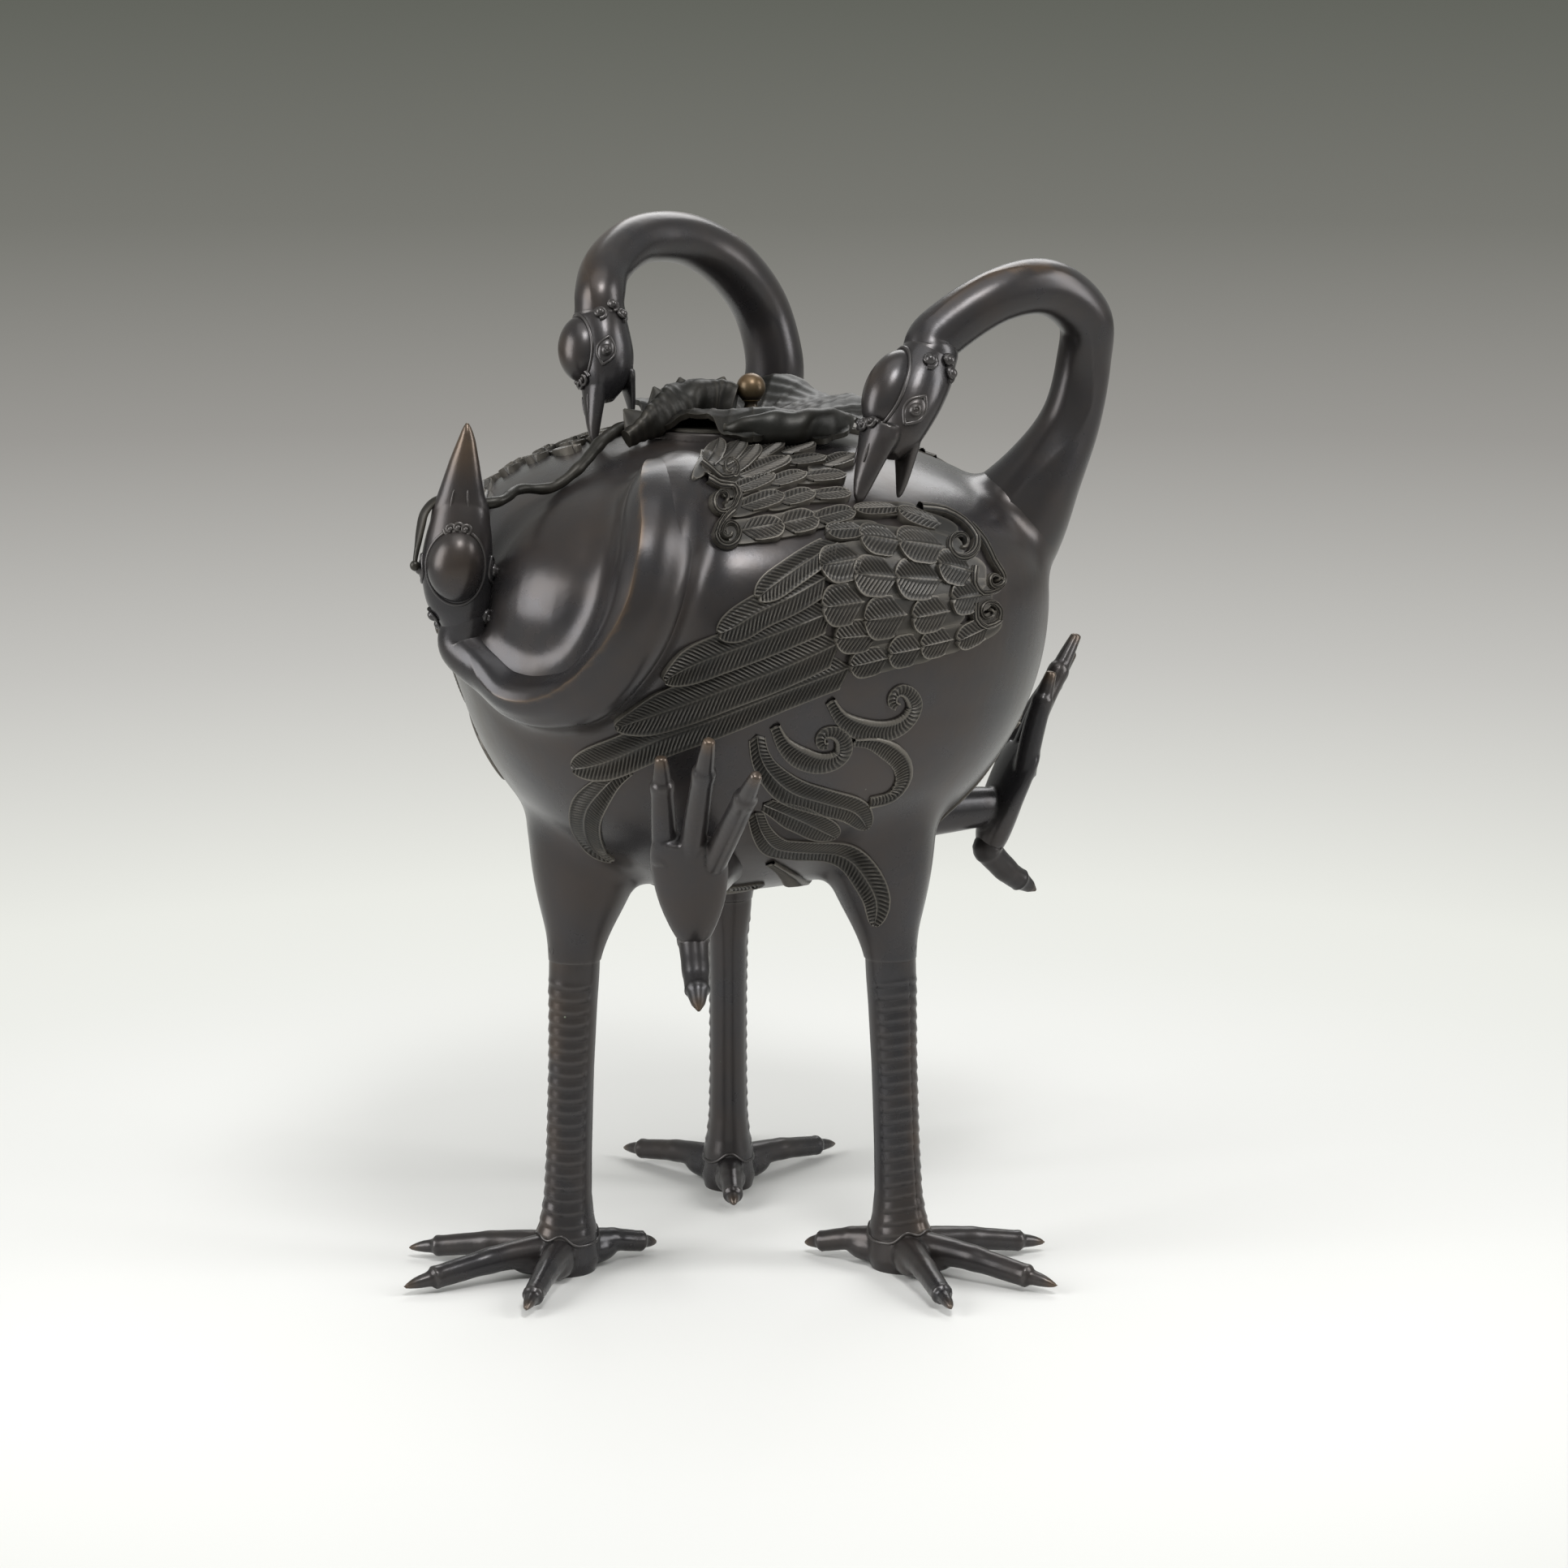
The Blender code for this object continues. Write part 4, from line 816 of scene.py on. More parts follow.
# Curled bands: lead-in, the curl, and half width at the start and at the end
LONG_VOLUTES = (
    ([(1132, 628), (1160, 632), (1184, 645), (1198, 662)], (1180, 672, 20, 4, -10, 1.35), 7.0, 2.4),
    ([(1192, 650), (1208, 668), (1219, 690), (1228, 704)], (1221, 715, 11, 3, -30, 1.2), 6.0, 2.2),
    ([(1198, 700), (1196, 718), (1206, 731), (1222, 728)], (1224, 716, 9, 3, 70, -0.4), 5.0, 2.0),
    ([(1198, 742), (1198, 760), (1210, 771), (1226, 764)], (1213, 753, 15, 3, 30, -1.3), 5.0, 2.0),
)
SHORT_FEATHERS = (
    ((964, 651), (912, 657), 16), ((1005, 642), (958, 650), 16), ((1050, 634), (1002, 643), 12),
    ((963, 614), (912, 628), 13), ((1001, 611), (958, 622), 12), ((1046, 612), (998, 614), 11),
    ((952, 591), (902, 606), 11), ((990, 588), (946, 600), 11), ((1040, 590), (988, 592), 12),
    ((970, 570), (908, 590), 11), ((1015, 569), (966, 573), 10), ((1049, 566), (1012, 577), 9),
    ((931, 556), (892, 584), 10), ((914, 549), (880, 572), 9), ((960, 551), (925, 570), 9),
    ((1000, 553), (962, 562), 9), ((886, 549), (868, 572), 8),
)
SHORT_VOLUTES = (
    ([(862, 572), (872, 580), (884, 590), (900, 591)], (897, 581, 13, 3, 60, -1.1), 4.5, 2.0),
    ([(867, 590), (882, 598), (902, 602), (909, 614)], (888, 618, 19, 4, 0, 1.2), 6.0, 2.2),
    ([(902, 632), (892, 640), (884, 650), (879, 662)], (897, 658, 18, 3, 170, -1.5), 5.0, 2.2),
)
# Plumes under the long wing: from the root to the tip, and half width at both
PLUMES = (
    ([(1022, 862), (1036, 884), (1058, 897), (1082, 901), (1103, 897), (1119, 885), (1126, 869),
      (1120, 855), (1109, 850), (1100, 856), (1099, 866), (1106, 870)], 13.5, 5.0),
    ([(954, 893), (965, 916), (984, 932), (1007, 940), (1027, 937), (1038, 926), (1037, 910),
      (1027, 902), (1015, 903), (1010, 911), (1013, 918), (1020, 917)], 13.5, 5.0),
    ([(1050, 914), (1078, 916), (1106, 934), (1113, 958), (1098, 980), (1070, 988)], 12.0, 8.0),
    ([(948, 1062), (972, 1079), (1001, 1085), (1028, 1104), (1042, 1130)], 13.0, 8.0),
)
# Plumes with barbs on both sides of a rib: from the root to the tip, and the half width
FRONDS = (
    ([(932, 905), (936, 930), (948, 952), (975, 975), (1015, 988), (1052, 999), (1068, 1020)], 19),
    ([(930, 1000), (938, 1024), (953, 1042), (975, 1047), (1028, 1050), (1060, 1071), (1080, 1108),
      (1078, 1141)], 20),
    ([(776, 944), (748, 966), (724, 996), (722, 1024), (734, 1046), (757, 1060)], 20),
    ([(940, 990), (969, 1002), (996, 1014), (1030, 1030)], 19),
)
# The photograph shows the long wing on the right crane and the short one on the front crane
LONG_FACING, SHORT_FACING = CRANES["right"], CRANES["front"]
PIXEL = 0.0004           # a pixel's width at the bowl


def behind(spine, share):
    """The bed of a short feather: its spine, drawn on past the root by a share of its length."""
    return spine[0] + (spine[0] - spine[-1]) * share, spine[-1]


def lay_volutes(bm, volutes, angle, rise):
    """The curled bands where a wing begins."""
    for lead, curl, wide, narrow in volutes:
        spine = spine_of(lead + curl_points(*curl), angle, 2)
        volute(bm, SKIN_TREE, spine, wide * PIXEL, narrow * PIXEL, rise)


def make_long_wing(crane, facing):
    """Long flight feathers, each a little higher than the one below it, and coverts on beds."""
    angle = facing - LONG_FACING
    bm = bmesh.new()
    for i, (pixels, half) in enumerate(LONG_FLIGHTS):
        low = 0.0012 + 0.0003 * i
        feather(bm, SKIN_TREE, spine_of(pixels, angle), half * PIXEL, low, low + 0.0008,
                -SHINGLE, lean=0.9, tip=0.16 + 0.03 * i, root=0.9)
    for tip, root, half in LONG_COVERTS:
        spine = spine_of((root, tip), angle)
        bed(bm, SKIN_TREE, behind(spine, 0.5), half * PIXEL, 0.0020)
        feather(bm, SKIN_TREE, spine, half * PIXEL, 0.0026, 0.0038, -SHINGLE)
    lay_volutes(bm, LONG_VOLUTES, angle, 0.0036)
    piece(bm, f"{crane}_right_wing_feathers", "chased_bronze", stands_for=(f"{crane}_right_wing",))


def make_short_wing(crane, facing):
    """Coverts on beds; those near the wing's upper edge are broader."""
    angle = facing - SHORT_FACING
    bm = bmesh.new()
    for tip, root, half in SHORT_FEATHERS:
        spine = spine_of((root, tip), angle)
        bed(bm, SKIN_TREE, behind(spine, 0.4), half * PIXEL * 1.1, 0.0014)
        wide = half * PIXEL * (1.12 + 0.45 * ease(600 - tip[1], 0, 40))
        feather(bm, SKIN_TREE, spine, wide, 0.0018, 0.0036, SHINGLE)
    lay_volutes(bm, SHORT_VOLUTES, angle, 0.0030)
    piece(bm, f"{crane}_left_wing_feathers", "chased_bronze", stands_for=(f"{crane}_left_wing",))


def make_plumes(crane, facing):
    """Under the long wing: fronds with barbs on both sides, and over them the curled plumes."""
    angle = facing - LONG_FACING
    bm = bmesh.new()
    for pixels, half in FRONDS:
        feather(bm, SKIN_TREE, spine_of(pixels, angle, 4), half * PIXEL, 0.0008, 0.0014,
                lean=0.6, tip=0.3, root=0.5)
    for pixels, wide, narrow in PLUMES:
        plume(bm, SKIN_TREE, spine_of(pixels, angle, 3), wide * PIXEL, narrow * PIXEL, 0.0016)
    piece(bm, f"{crane}_plumes", "chased_bronze")


# Necks

# Ridges on the necks, as pixels of the photograph from the root to the head
NECK_RIDGES = {
    "front": ((800, 548), (791, 575), (792, 610), (793, 650), (788, 690), (778, 735), (763, 770),
              (745, 797), (727, 818), (700, 843), (675, 858), (650, 864), (626, 862), (604, 850),
              (588, 833), (577, 808)),
    "right": ((1330, 345), (1290, 330), (1250, 329), (1215, 339), (1180, 360), (1150, 388),
              (1125, 412)),
}
NECK_REACH = 1.86        # from the camera to the necks, for rays that pass beside them
BEND_SPAN = 14           # points each way over which a neck's bend is read
NECK_RUN_ON = 0.0016     # step of the four rows by which a neck runs on into its head
# How wide, in radians, and how strongly each neck's crest is rubbed
NECK_RUBS = {"front": (0.05, 0.45), "right": (0.20, 0.65), "rear": (0.55, 0.25)}
# The crease down the cone at the right neck's root, in pixels too
CONE_CREASE = ((1262, 597), (1285, 578), (1315, 550), (1345, 505), (1368, 465))


def turn_of(way, at):
    """Where a way out of a path points, as a turn from the side to the upward way there."""
    side, up = at[1:]
    return math.atan2(way.dot(up), way.dot(side))


def ridge_turns(path, frames, tree, pixels):
    """Where the photograph's ridge runs round a neck: its turn at each point of the path, and the
    first and last point that it passes."""
    known = []
    for pixel in pixels:
        start, way = photo_ray(*pixel)
        spot = tree.ray_cast(start, way)[0] or tree.find_nearest(start + way * NECK_REACH)[0]
        i = min(range(len(path)), key=lambda k: (path[k] - spot).length)
        turn = turn_of(spot - path[i], frames[i])
        if known:
            turn += round((known[-1][1] - turn) / (2 * math.pi)) * 2 * math.pi
        known.append((i, turn))
    known.sort()
    places, turns = zip(*known)
    return list(np.interp(range(len(path)), places, turns)), places[0], places[-1]


def skull_radius(crane, x):
    """The skull's mean radius at x, in metres of the burner."""
    rows = [(row[0], (2 * row[1] + row[2] + row[3]) / 4) for row in SKULLS[crane]]
    return table(x, rows) * HEAD_SCALES[crane]


def make_neck(crane):
    """A swan-like neck. The front one is roofed, with a ridge along its outer side, and the others
    are drawn to a soft crest, the right one where the photograph has it and the rear one on the
    outside of its bend. Its end takes the skull's size and runs on into the head."""
    path, radii = neck_line(crane)
    base = HEAD_BACKS[crane] / HEAD_SCALES[crane]
    goal = skull_radius(crane, base + 0.001)
    for k in range(1, NECK_STEPS + 1):
        i = len(path) - 1 - NECK_STEPS + k
        radii[i] += (goal - radii[i]) * ease(k, 0, NECK_STEPS)
    for k in range(1, 5):
        path.append(path[-1] + beak_way(crane) * NECK_RUN_ON)
        inside = base + NECK_RUN_ON * k / HEAD_SCALES[crane]
        radii.append(skull_radius(crane, inside) - 0.00012 * k * k)
    last = len(path) - 1
    hint = UP.cross(path[1] - path[0]).normalized()
    frames = frames_along(path, hint)
    tree = BVHTree.FromBMesh(round_bar(path, radii, 32, hint))
    if crane in NECK_RIDGES:
        crests, first, end = ridge_turns(path, frames, tree, NECK_RIDGES[crane])
    else:
        bends = []
        for i in range(len(path)):
            ends = path[max(i - BEND_SPAN, 0)] + path[min(i + BEND_SPAN, last)]
            bend = path[i] - ends / 2
            bends.append(turn_of(bend, frames[i]))
        crests, first, end = list(np.unwrap(bends)), last * 0.3, last
    crease, low, high = crests, 0, 0
    if crane == "right":
        crease, low, high = ridge_turns(path, frames, tree, CONE_CREASE)

    def gap(turn, middle):
        return abs(gap_of(turn, middle, 2 * math.pi))

    def half(share, turn):
        i = round(share * last)
        away = gap(turn, crests[i])
        if crane == "front":
            shown = ease(i, 0, 16) * (1.0 - ease(i, end - 14, end + 4))
            strength = (0.16 - 0.06 * ease(share, 0.45, 0.95)) * shown
            hollow = 0.075 * shown * math.exp(-((away - 0.85) / 0.38) ** 2)
            size = 1.0 + strength * math.exp(-away / 0.24) - hollow
        else:
            shown = ease(i, first - 14, first + 4) * (1.0 - ease(i, end, end + 12))
            size = 0.968 + 0.030 * math.exp(-away / 0.22) * shown
        if high:
            shown = ease(i, low - 8, low + 4) * (1.0 - ease(i, high - 4, high + 10))
            size += 0.048 * shown * math.exp(-gap(turn, crease[i]) / 0.12)
        if crane == "front":
            size *= 0.62 + 0.38 * ease(i, -6, 12)
        size += (1.0 - size) * ease(i, last - NECK_STEPS, last - 4)
        return (radii[i] * size,) * 2

    def rub(place, normal):
        i = min(range(0, last, 3), key=lambda k: (path[k] - place).length)
        away = gap(turn_of(place - path[i], frames[i]), crests[i])
        width, strength = NECK_RUBS[crane]
        shown = ease(i, first, first + 10) * (1.0 - ease(i, end - 25, end))
        return strength * math.exp(-(away / width) ** 2) * shown
    bm = tube(path, half, 84, hint, crests)
    piece(bm, f"{crane}_neck_casting", "patinated_bronze", stands_for=(f"{crane}_neck",), rub=rub)


# Heads, in their own frame: x from the nape to the beak, y to the side, z to the crown

# Along each skull: x, half width, height over the middle line, depth under it
SKULLS = {
    "front": ((-0.001, 0.0100, 0.0098, 0.0102), (0.0045, 0.0120, 0.0113, 0.0120),
              (0.009, 0.0142, 0.0122, 0.0131), (0.016, 0.0154, 0.0130, 0.0139),
              (0.0276, 0.0160, 0.0134, 0.0147), (0.038, 0.0151, 0.0118, 0.0144),
              (0.0468, 0.0134, 0.0096, 0.0124), (0.054, 0.0112, 0.0072, 0.0092),
              (0.062, 0.0060, 0.0040, 0.0050)),
    "right": ((-0.006, 0.0088, 0.0088, 0.0088), (0.001, 0.0106, 0.0108, 0.0110),
              (0.006, 0.0121, 0.0122, 0.0121), (0.013, 0.0142, 0.0136, 0.0124),
              (0.022, 0.0152, 0.0140, 0.0118), (0.030, 0.0146, 0.0128, 0.0107),
              (0.037, 0.0132, 0.0112, 0.0094), (0.042, 0.0104, 0.0088, 0.0074),
              (0.047, 0.0060, 0.0052, 0.0044)),
    "rear": ((0.003, 0.0096, 0.0096, 0.0096), (0.011, 0.0118, 0.0118, 0.0120),
             (0.0150, 0.0136, 0.0126, 0.0128), (0.022, 0.0152, 0.0132, 0.0143),
             (0.030, 0.0155, 0.0128, 0.0157), (0.038, 0.0146, 0.0112, 0.0150),
             (0.045, 0.0120, 0.0090, 0.0116), (0.052, 0.0070, 0.0054, 0.0060)),
}
# Upper and lower half of each beak: start and end as (x, z), half width and half depth at the root
BEAKS = {
    "front": (((0.0460, -0.0010), (0.0912, -0.0015), 0.0136, 0.0088),
              ((0.0440, -0.0085), (0.0860, -0.0050), 0.0116, 0.0056)),
    "right": (((0.0390, 0.0050), (0.0705, 0.0040), 0.0112, 0.0096),
              ((0.0375, -0.0050), (0.0595, -0.0128), 0.0088, 0.0048)),
    "rear": (((0.0420, 0.0008), (0.0720, 0.0038), 0.0112, 0.0082),
             ((0.0380, -0.0120), (0.0590, -0.0166), 0.0096, 0.0040)),
}
# How a beak's width and depth go from its root to its tip
BEAK_WIDTHS = ((0.0, 1.0), (0.15, 0.95), (0.30, 0.77), (0.45, 0.64), (0.63, 0.49), (0.82, 0.31),
               (0.94, 0.17), (1.0, 0.06))
BEAK_DEPTHS = ((0.0, 1.0), (0.25, 0.82), (0.50, 0.66), (0.75, 0.50), (0.93, 0.32), (1.0, 0.12))
# Each head's own scale, the x at which its neck ends, and its eye's x and z
HEAD_SCALES = {"front": 1.0, "right": 1.15, "rear": 1.0}
HEAD_BACKS = {"front": 0.0, "right": 0.002, "rear": 0.0110}
EYES = {"front": (0.0255, 0.0022), "right": (0.0310, 0.0050), "rear": (0.0315, 0.0036)}
# Crown: x, height of its middle, half length, half width, half height
CROWNS = {"front": (0.0285, 0.0088, 0.0165, 0.0127, 0.0116),
          "right": (0.0232, 0.0092, 0.0176, 0.0104, 0.0108),
          "rear": (0.0280, 0.0086, 0.0158, 0.0116, 0.0116)}
# Cheek curls: x, and degrees above the side
CHEEK_CURLS = {
    "front": ((-0.0045, -8.0), (0.0008, -34.0), (0.0012, 16.0)),
    "right": ((0.0064, 22.0), (0.0020, -14.0), (0.0068, -26.0)),
    "rear": ((0.0096, 20.0), (0.0062, -10.0), (0.0100, -31.0)),
}
# Curls between crown and beak: x, spacing and radius
BROWS = {"front": (0.0490, 0.0050, 0.0029), "right": (0.0425, 0.0062, 0.0034),
         "rear": (0.0478, 0.0066, 0.0042)}
# How far the front head bends to one side along its length
FRONT_SWAY = ((-0.010, 0.0), (0.0, 0.0004), (0.009, 0.0024), (0.0276, 0.0036), (0.047, 0.0024),
              (0.060, 0.0020), (0.075, 0.0009), (0.085, 0.0), (0.095, 0.0))
WELT = 0.0008            # radius of the fine ridges round eyes and crowns and at the ankles


def head_matrix(crane):
    """From a head's own frame to its place at the end of its neck."""
    end = neck_line(crane)[0][-1]
    beak = beak_way(crane)
    crown = Vector(CROWN_WAYS[crane])
    crown = (crown - beak * crown.dot(beak)).normalized()
    turn = Matrix((beak, crown.cross(beak), crown)).transposed().to_4x4()
    back = Matrix.Translation(Vector((-HEAD_BACKS[crane], 0, 0)))
    return Matrix.Translation(end) @ turn @ back @ Matrix.Scale(HEAD_SCALES[crane], 4)


def skull_form(crane):
    """The skull as a closed body, higher or lower over its middle line than under it."""
    columns = [smooth_path([row[k] for row in SKULLS[crane]], 4) for k in range(4)]
    last = len(columns[0]) - 1

    def half(share, turn):
        i = round(share * last)
        return columns[1][i], columns[2 if math.sin(turn) > 0 else 3][i]
    path = [Vector((x, 0, 0)) for x in columns[0]]
    return tube(path, half, 44, Y_AXIS)


def beak_form(start, end, wide, deep, sign):
    """Half of a beak: domed outside, flatter inside, with a hard tip."""
    start, end = Vector((start[0], 0, start[1])), Vector((end[0], 0, end[1]))
    lift = Vector((start.z - end.z, 0, end.x - start.x)).normalized()
    shares = [k / 24 for k in range(25)]
    path = [start.lerp(end, share) - lift * (sign * 0.0012 * share ** 3) for share in shares]

    def half(share, turn):
        inside = (math.sin(turn) < 0) == (sign > 0)
        flat = 0.5 if inside else 1.0
        return wide * table(share, BEAK_WIDTHS), deep * table(share, BEAK_DEPTHS) * flat
    return tube(path, half, 32, Y_AXIS)


def coil(tree, centre, normal, across, radius, thick, turns, bead=1.3):
    """A small curl of wire-like metal laid on a surface, with a bead in its middle."""
    normal, across = normal.normalized(), across.normalized()
    across = (across - normal * across.dot(normal)).normalized()
    other = normal.cross(across)
    points = []
    steps = int(turns * 14)
    for k in range(steps + 1):
        share = k / steps
        angle = 2 * math.pi * turns * share
        way = across * math.cos(angle) + other * math.sin(angle)
        spot = centre + way * (radius * (1.0 - 0.60 * share))
        place, face_normal = tree.find_nearest(spot)[:2]
        points.append(place + face_normal * (thick * (0.2 + 0.9 * share)))
    radii = [thick * (1.0 - 0.25 * k / steps) for k in range(steps + 1)]
    middle = tree.find_nearest(centre)[0] + normal * (thick * 0.9)
    ball = egg(middle, (across, other, normal), (thick * bead,) * 3, 14, 10)
    return join(round_bar(points, radii, 10, normal), ball)


def eye_form(tree, x, z, sign):
    """A pointed lid round a ball with an engraved ring."""
    centre, normal = tree.find_nearest(Vector((x, sign * 0.02, z)))[:2]
    long_way = Vector((0.97, 0.0, 0.22))
    long_way = (long_way - normal * long_way.dot(normal)).normalized()
    tall_way = normal.cross(long_way)
    ring = []
    for k in range(49):
        angle = 2 * math.pi * k / 48
        narrow = 1.0 - 0.75 * abs(math.cos(angle)) ** 2.2
        spot = (centre + long_way * (0.0068 * math.cos(angle))
                + tall_way * (0.0044 * math.sin(angle) * narrow))
        ring.append(tree.find_nearest(spot)[0] + normal * 0.0002)
    axes = (long_way, tall_way, normal)
    lid = round_bar(ring, [WELT] * 49, 8, normal)
    brow = egg(centre - normal * 0.0006, axes, (0.0058, 0.0040, 0.0020), 24, 16)
    ball = egg(centre + normal * 0.0006, axes, (0.0030, 0.0027, 0.0024), 20, 14)
    ball_tree = BVHTree.FromBMesh(ball)
    pupil = coil(ball_tree, centre + normal * 0.0030, normal, long_way, 0.0017, 0.00032, 1.0)
    return join(lid, brow, ball, pupil)


def crown_form(crane, tree):
    """The smooth swelling of the crown, set in a thin welt."""
    x, z, long, wide, high = CROWNS[crane]
    dome = egg(Vector((x, 0, z)), (X_AXIS, Y_AXIS, UP), (long, wide, high), 56, 36)
    ring = []
    for k in range(73):
        angle = 2 * math.pi * k / 72
        over = Vector((x + (long + WELT / 2) * math.cos(angle),
                       (wide + WELT / 2) * math.sin(angle), 0.05))
        hit = tree.ray_cast(over, UP * -1)[0]
        if hit is None or hit.z < z - 0.004:
            hit = tree.find_nearest(Vector((over.x, over.y, z - 0.001)))[0]
        ring.append(hit)
    return join(dome, round_bar(ring, [WELT] * 73, 10))


def make_head(crane):
    """Skull and beak in one, with crown, eyes, cheek curls, nostrils and the curls on the brow."""
    place = head_matrix(crane)
    upper, lower = BEAKS[crane]
    head = join(skull_form(crane), beak_form(*upper, 1), beak_form(*lower, -1))
    head = melt(head, 0.00060, 4)
    tree = BVHTree.FromBMesh(head)
    trims = [crown_form(crane, tree)]
    for sign in (1, -1):
        trims.append(eye_form(tree, *EYES[crane], sign))
        for x, slope in CHEEK_CURLS[crane]:
            angle = math.radians(slope)
            way = Vector((0, sign * math.cos(angle), math.sin(angle)))
            seat, normal = tree.find_nearest(Vector((x, 0, 0)) + way * 0.02)[:2]
            trims.append(coil(tree, seat, normal, X_AXIS, 0.0031, 0.0012, 1.2, 1.9))
        seat, normal = tree.find_nearest(Vector((upper[0][0] + 0.013, sign * 0.0048, 0.012)))[:2]
        ahead = Vector((0.95, -sign * 0.12, -0.1)).normalized()
        nostril = egg(seat, (ahead, ahead.cross(normal), normal), (0.0046, 0.0006, 0.0006), 16, 10)
        trims.append(nostril)
    brow_x, spacing, radius = BROWS[crane]
    for y in (-spacing, 0.0, spacing):
        seat, normal = tree.find_nearest(Vector((brow_x - 30.0 * y * y, y, 0.02)))[:2]
        trims.append(coil(tree, seat, normal, Y_AXIS, radius, 0.0010, 1.3))
    bm = join(head, *trims)
    if crane == "front":
        places, sways = zip(*FRONT_SWAY)
        bends = smooth_path(list(sways), 6)
        stations = smooth_path(list(places), 6)
        for vert in bm.verts:
            vert.co.y += float(np.interp(vert.co.x, stations, bends))
    bmesh.ops.transform(bm, matrix=place, verts=bm.verts)
    tip = place @ Vector((upper[1][0], 0, upper[1][1]))
    crown = place @ Vector((CROWNS[crane][0], 0, 0.0205))

    def rub(spot, normal):
        beak = 0.6 * ease(0.030 - (spot - tip).length, 0.0, 0.030) if crane == "front" else 0.0
        return max(beak, 0.16 * ease(0.016 - (spot - crown).length, 0.0, 0.016))
    piece(bm, f"{crane}_head_casting", "patinated_bronze", stands_for=(f"{crane}_head",), rub=rub)


# Legs and feet

SCUTE_PITCH, SCUTE_RISE = 0.0061, 0.0008
SCUTE_STEPS = 7          # rows of faces for each scute
SCUTES_TOP = 0.143
LEG_ACROSS, LEG_RADIAL = 0.0092, 0.0111
LEG_JOINT_R = 0.0120     # where the leg meets the thigh
# How much thicker a leg is at each height
LEG_SWELLS = ((0.012, 1.42), (0.020, 1.34), (0.027, 1.18), (0.038, 1.05), (0.060, 1.0),
              (0.100, 1.0), (0.130, 1.06), (0.152, 1.10))


def make_leg(crane, facing):
    """A leg with overlapping scutes down its outer side, smooth behind."""
    azimuth = facing + LEG_TURN
    out, side = outward(azimuth), outward(azimuth + 90)
    low, high = FOOT_TOP_Z - 0.004, LEG_TOP_Z + JOINT
    rows = int((high - low) / SCUTE_PITCH * SCUTE_STEPS)
    path = [leg_centre(facing, low + (high - low) * k / rows) for k in range(rows + 1)]

    def half(share, turn):
        z = low + (high - low) * share
        swell = table(z, LEG_SWELLS)
        joined = ease(z, 0.128, LEG_TOP_Z)
        across = LEG_ACROSS * swell + (LEG_JOINT_R - LEG_ACROSS * swell) * joined
        radial = LEG_RADIAL * swell + (LEG_JOINT_R - LEG_RADIAL * swell) * joined
        front = ease(-math.sin(turn), -0.34, -0.12)
        scuted = 1.0 - ease(z, SCUTES_TOP - 0.004, SCUTES_TOP + 0.002)
        step = (z / SCUTE_PITCH + 0.30 * math.cos(turn + 0.5) ** 2) % 1.0
        edge = ease(step, 0.0, 0.34) * (1.0 - step) ** 0.9
        middle = math.exp(-((math.cos(turn) + 0.30) / 0.05) ** 2)
        rise = SCUTE_RISE * front * scuted * (edge - 0.5 * middle)
        return across + rise, radial + rise
    bm = tube(path, half, 84, side)

    def rub(place, normal):
        patch = 0.5 + 0.5 * math.sin(place.z * 210.0 + azimuth) * math.sin(place.z * 77.0)
        return 0.16 * ease(normal.dot(out), 0.5, 1.0) * patch
    piece(bm, f"{crane}_leg_casting", "patinated_bronze", stands_for=(f"{crane}_leg",), rub=rub,
          sharp=70.0)


# Toes of a standing foot: turn from the leg's azimuth, reach from the leg's middle, thickness
TOES = ((-46.1, 0.0800, 0.0052), (-3.0, 0.0847, 0.0056), (46.6, 0.0750, 0.0052),
        (182.1, 0.0515, 0.0052))
# A toe from root to claw: share of the length, share of the thickness, share of the arch
TOE_PROFILE = ((0.00, 1.50, 0.35), (0.12, 1.42, 0.70), (0.25, 1.26, 0.95), (0.36, 1.15, 1.00),
               (0.44, 1.15, 0.95), (0.52, 1.05, 0.82), (0.62, 1.03, 0.62), (0.70, 1.00, 0.45),
               (0.76, 0.98, 0.34), (0.785, 1.02, 0.30), (0.805, 0.98, 0.27), (0.82, 0.70, 0.24),
               (0.90, 0.54, 0.10), (0.96, 0.32, -0.06), (1.00, 0.08, -0.20))
RAISED_TOE = ((0.00, 1.10, 0.55), (0.20, 1.08, 0.90), (0.40, 1.06, 1.00), (0.55, 1.02, 0.90),
              (0.64, 1.00, 0.70), (0.69, 1.04, 0.60), (0.72, 1.05, 0.55), (0.75, 0.98, 0.50),
              (0.765, 0.82, 0.46), (0.85, 0.72, 0.30), (0.95, 0.58, 0.10), (0.99, 0.50, 0.00),
              (1.00, 0.36, 0.00))


def toe_form(start, end, thick, arch, lift, profile=TOE_PROFILE):
    """One toe with its claw, arched towards lift."""
    length = (end - start).length
    way = (end - start).normalized()
    lift = (lift - way * lift.dot(way)).normalized()
    points = [start + way * (length * share) + lift * (arch * bend) for share, width, bend in profile]
    path = smooth_path(points, 4)
    radii = smooth_path([thick * width for share, width, bend in profile], 4)
    return round_bar(path, radii, 20, way.cross(lift).normalized())


def claw_rub(tips):
    """The patina is rubbed through at the claws."""
    def rub(place, normal):
        near = min((place - tip).length for tip in tips)
        return 0.45 * ease(0.009 - near, 0.0, 0.009)
    return rub


# The block under a leg: height, and half size to the side and outwards
ANKLE = ((-0.001, 0.0120, 0.0140), (0.006, 0.0136, 0.0160), (0.012, 0.0128, 0.0158),
         (0.0165, 0.0122, 0.0150), (0.0185, 0.0122, 0.0146), (0.0200, 0.0120, 0.0144),
         (0.0212, 0.0106, 0.0130))


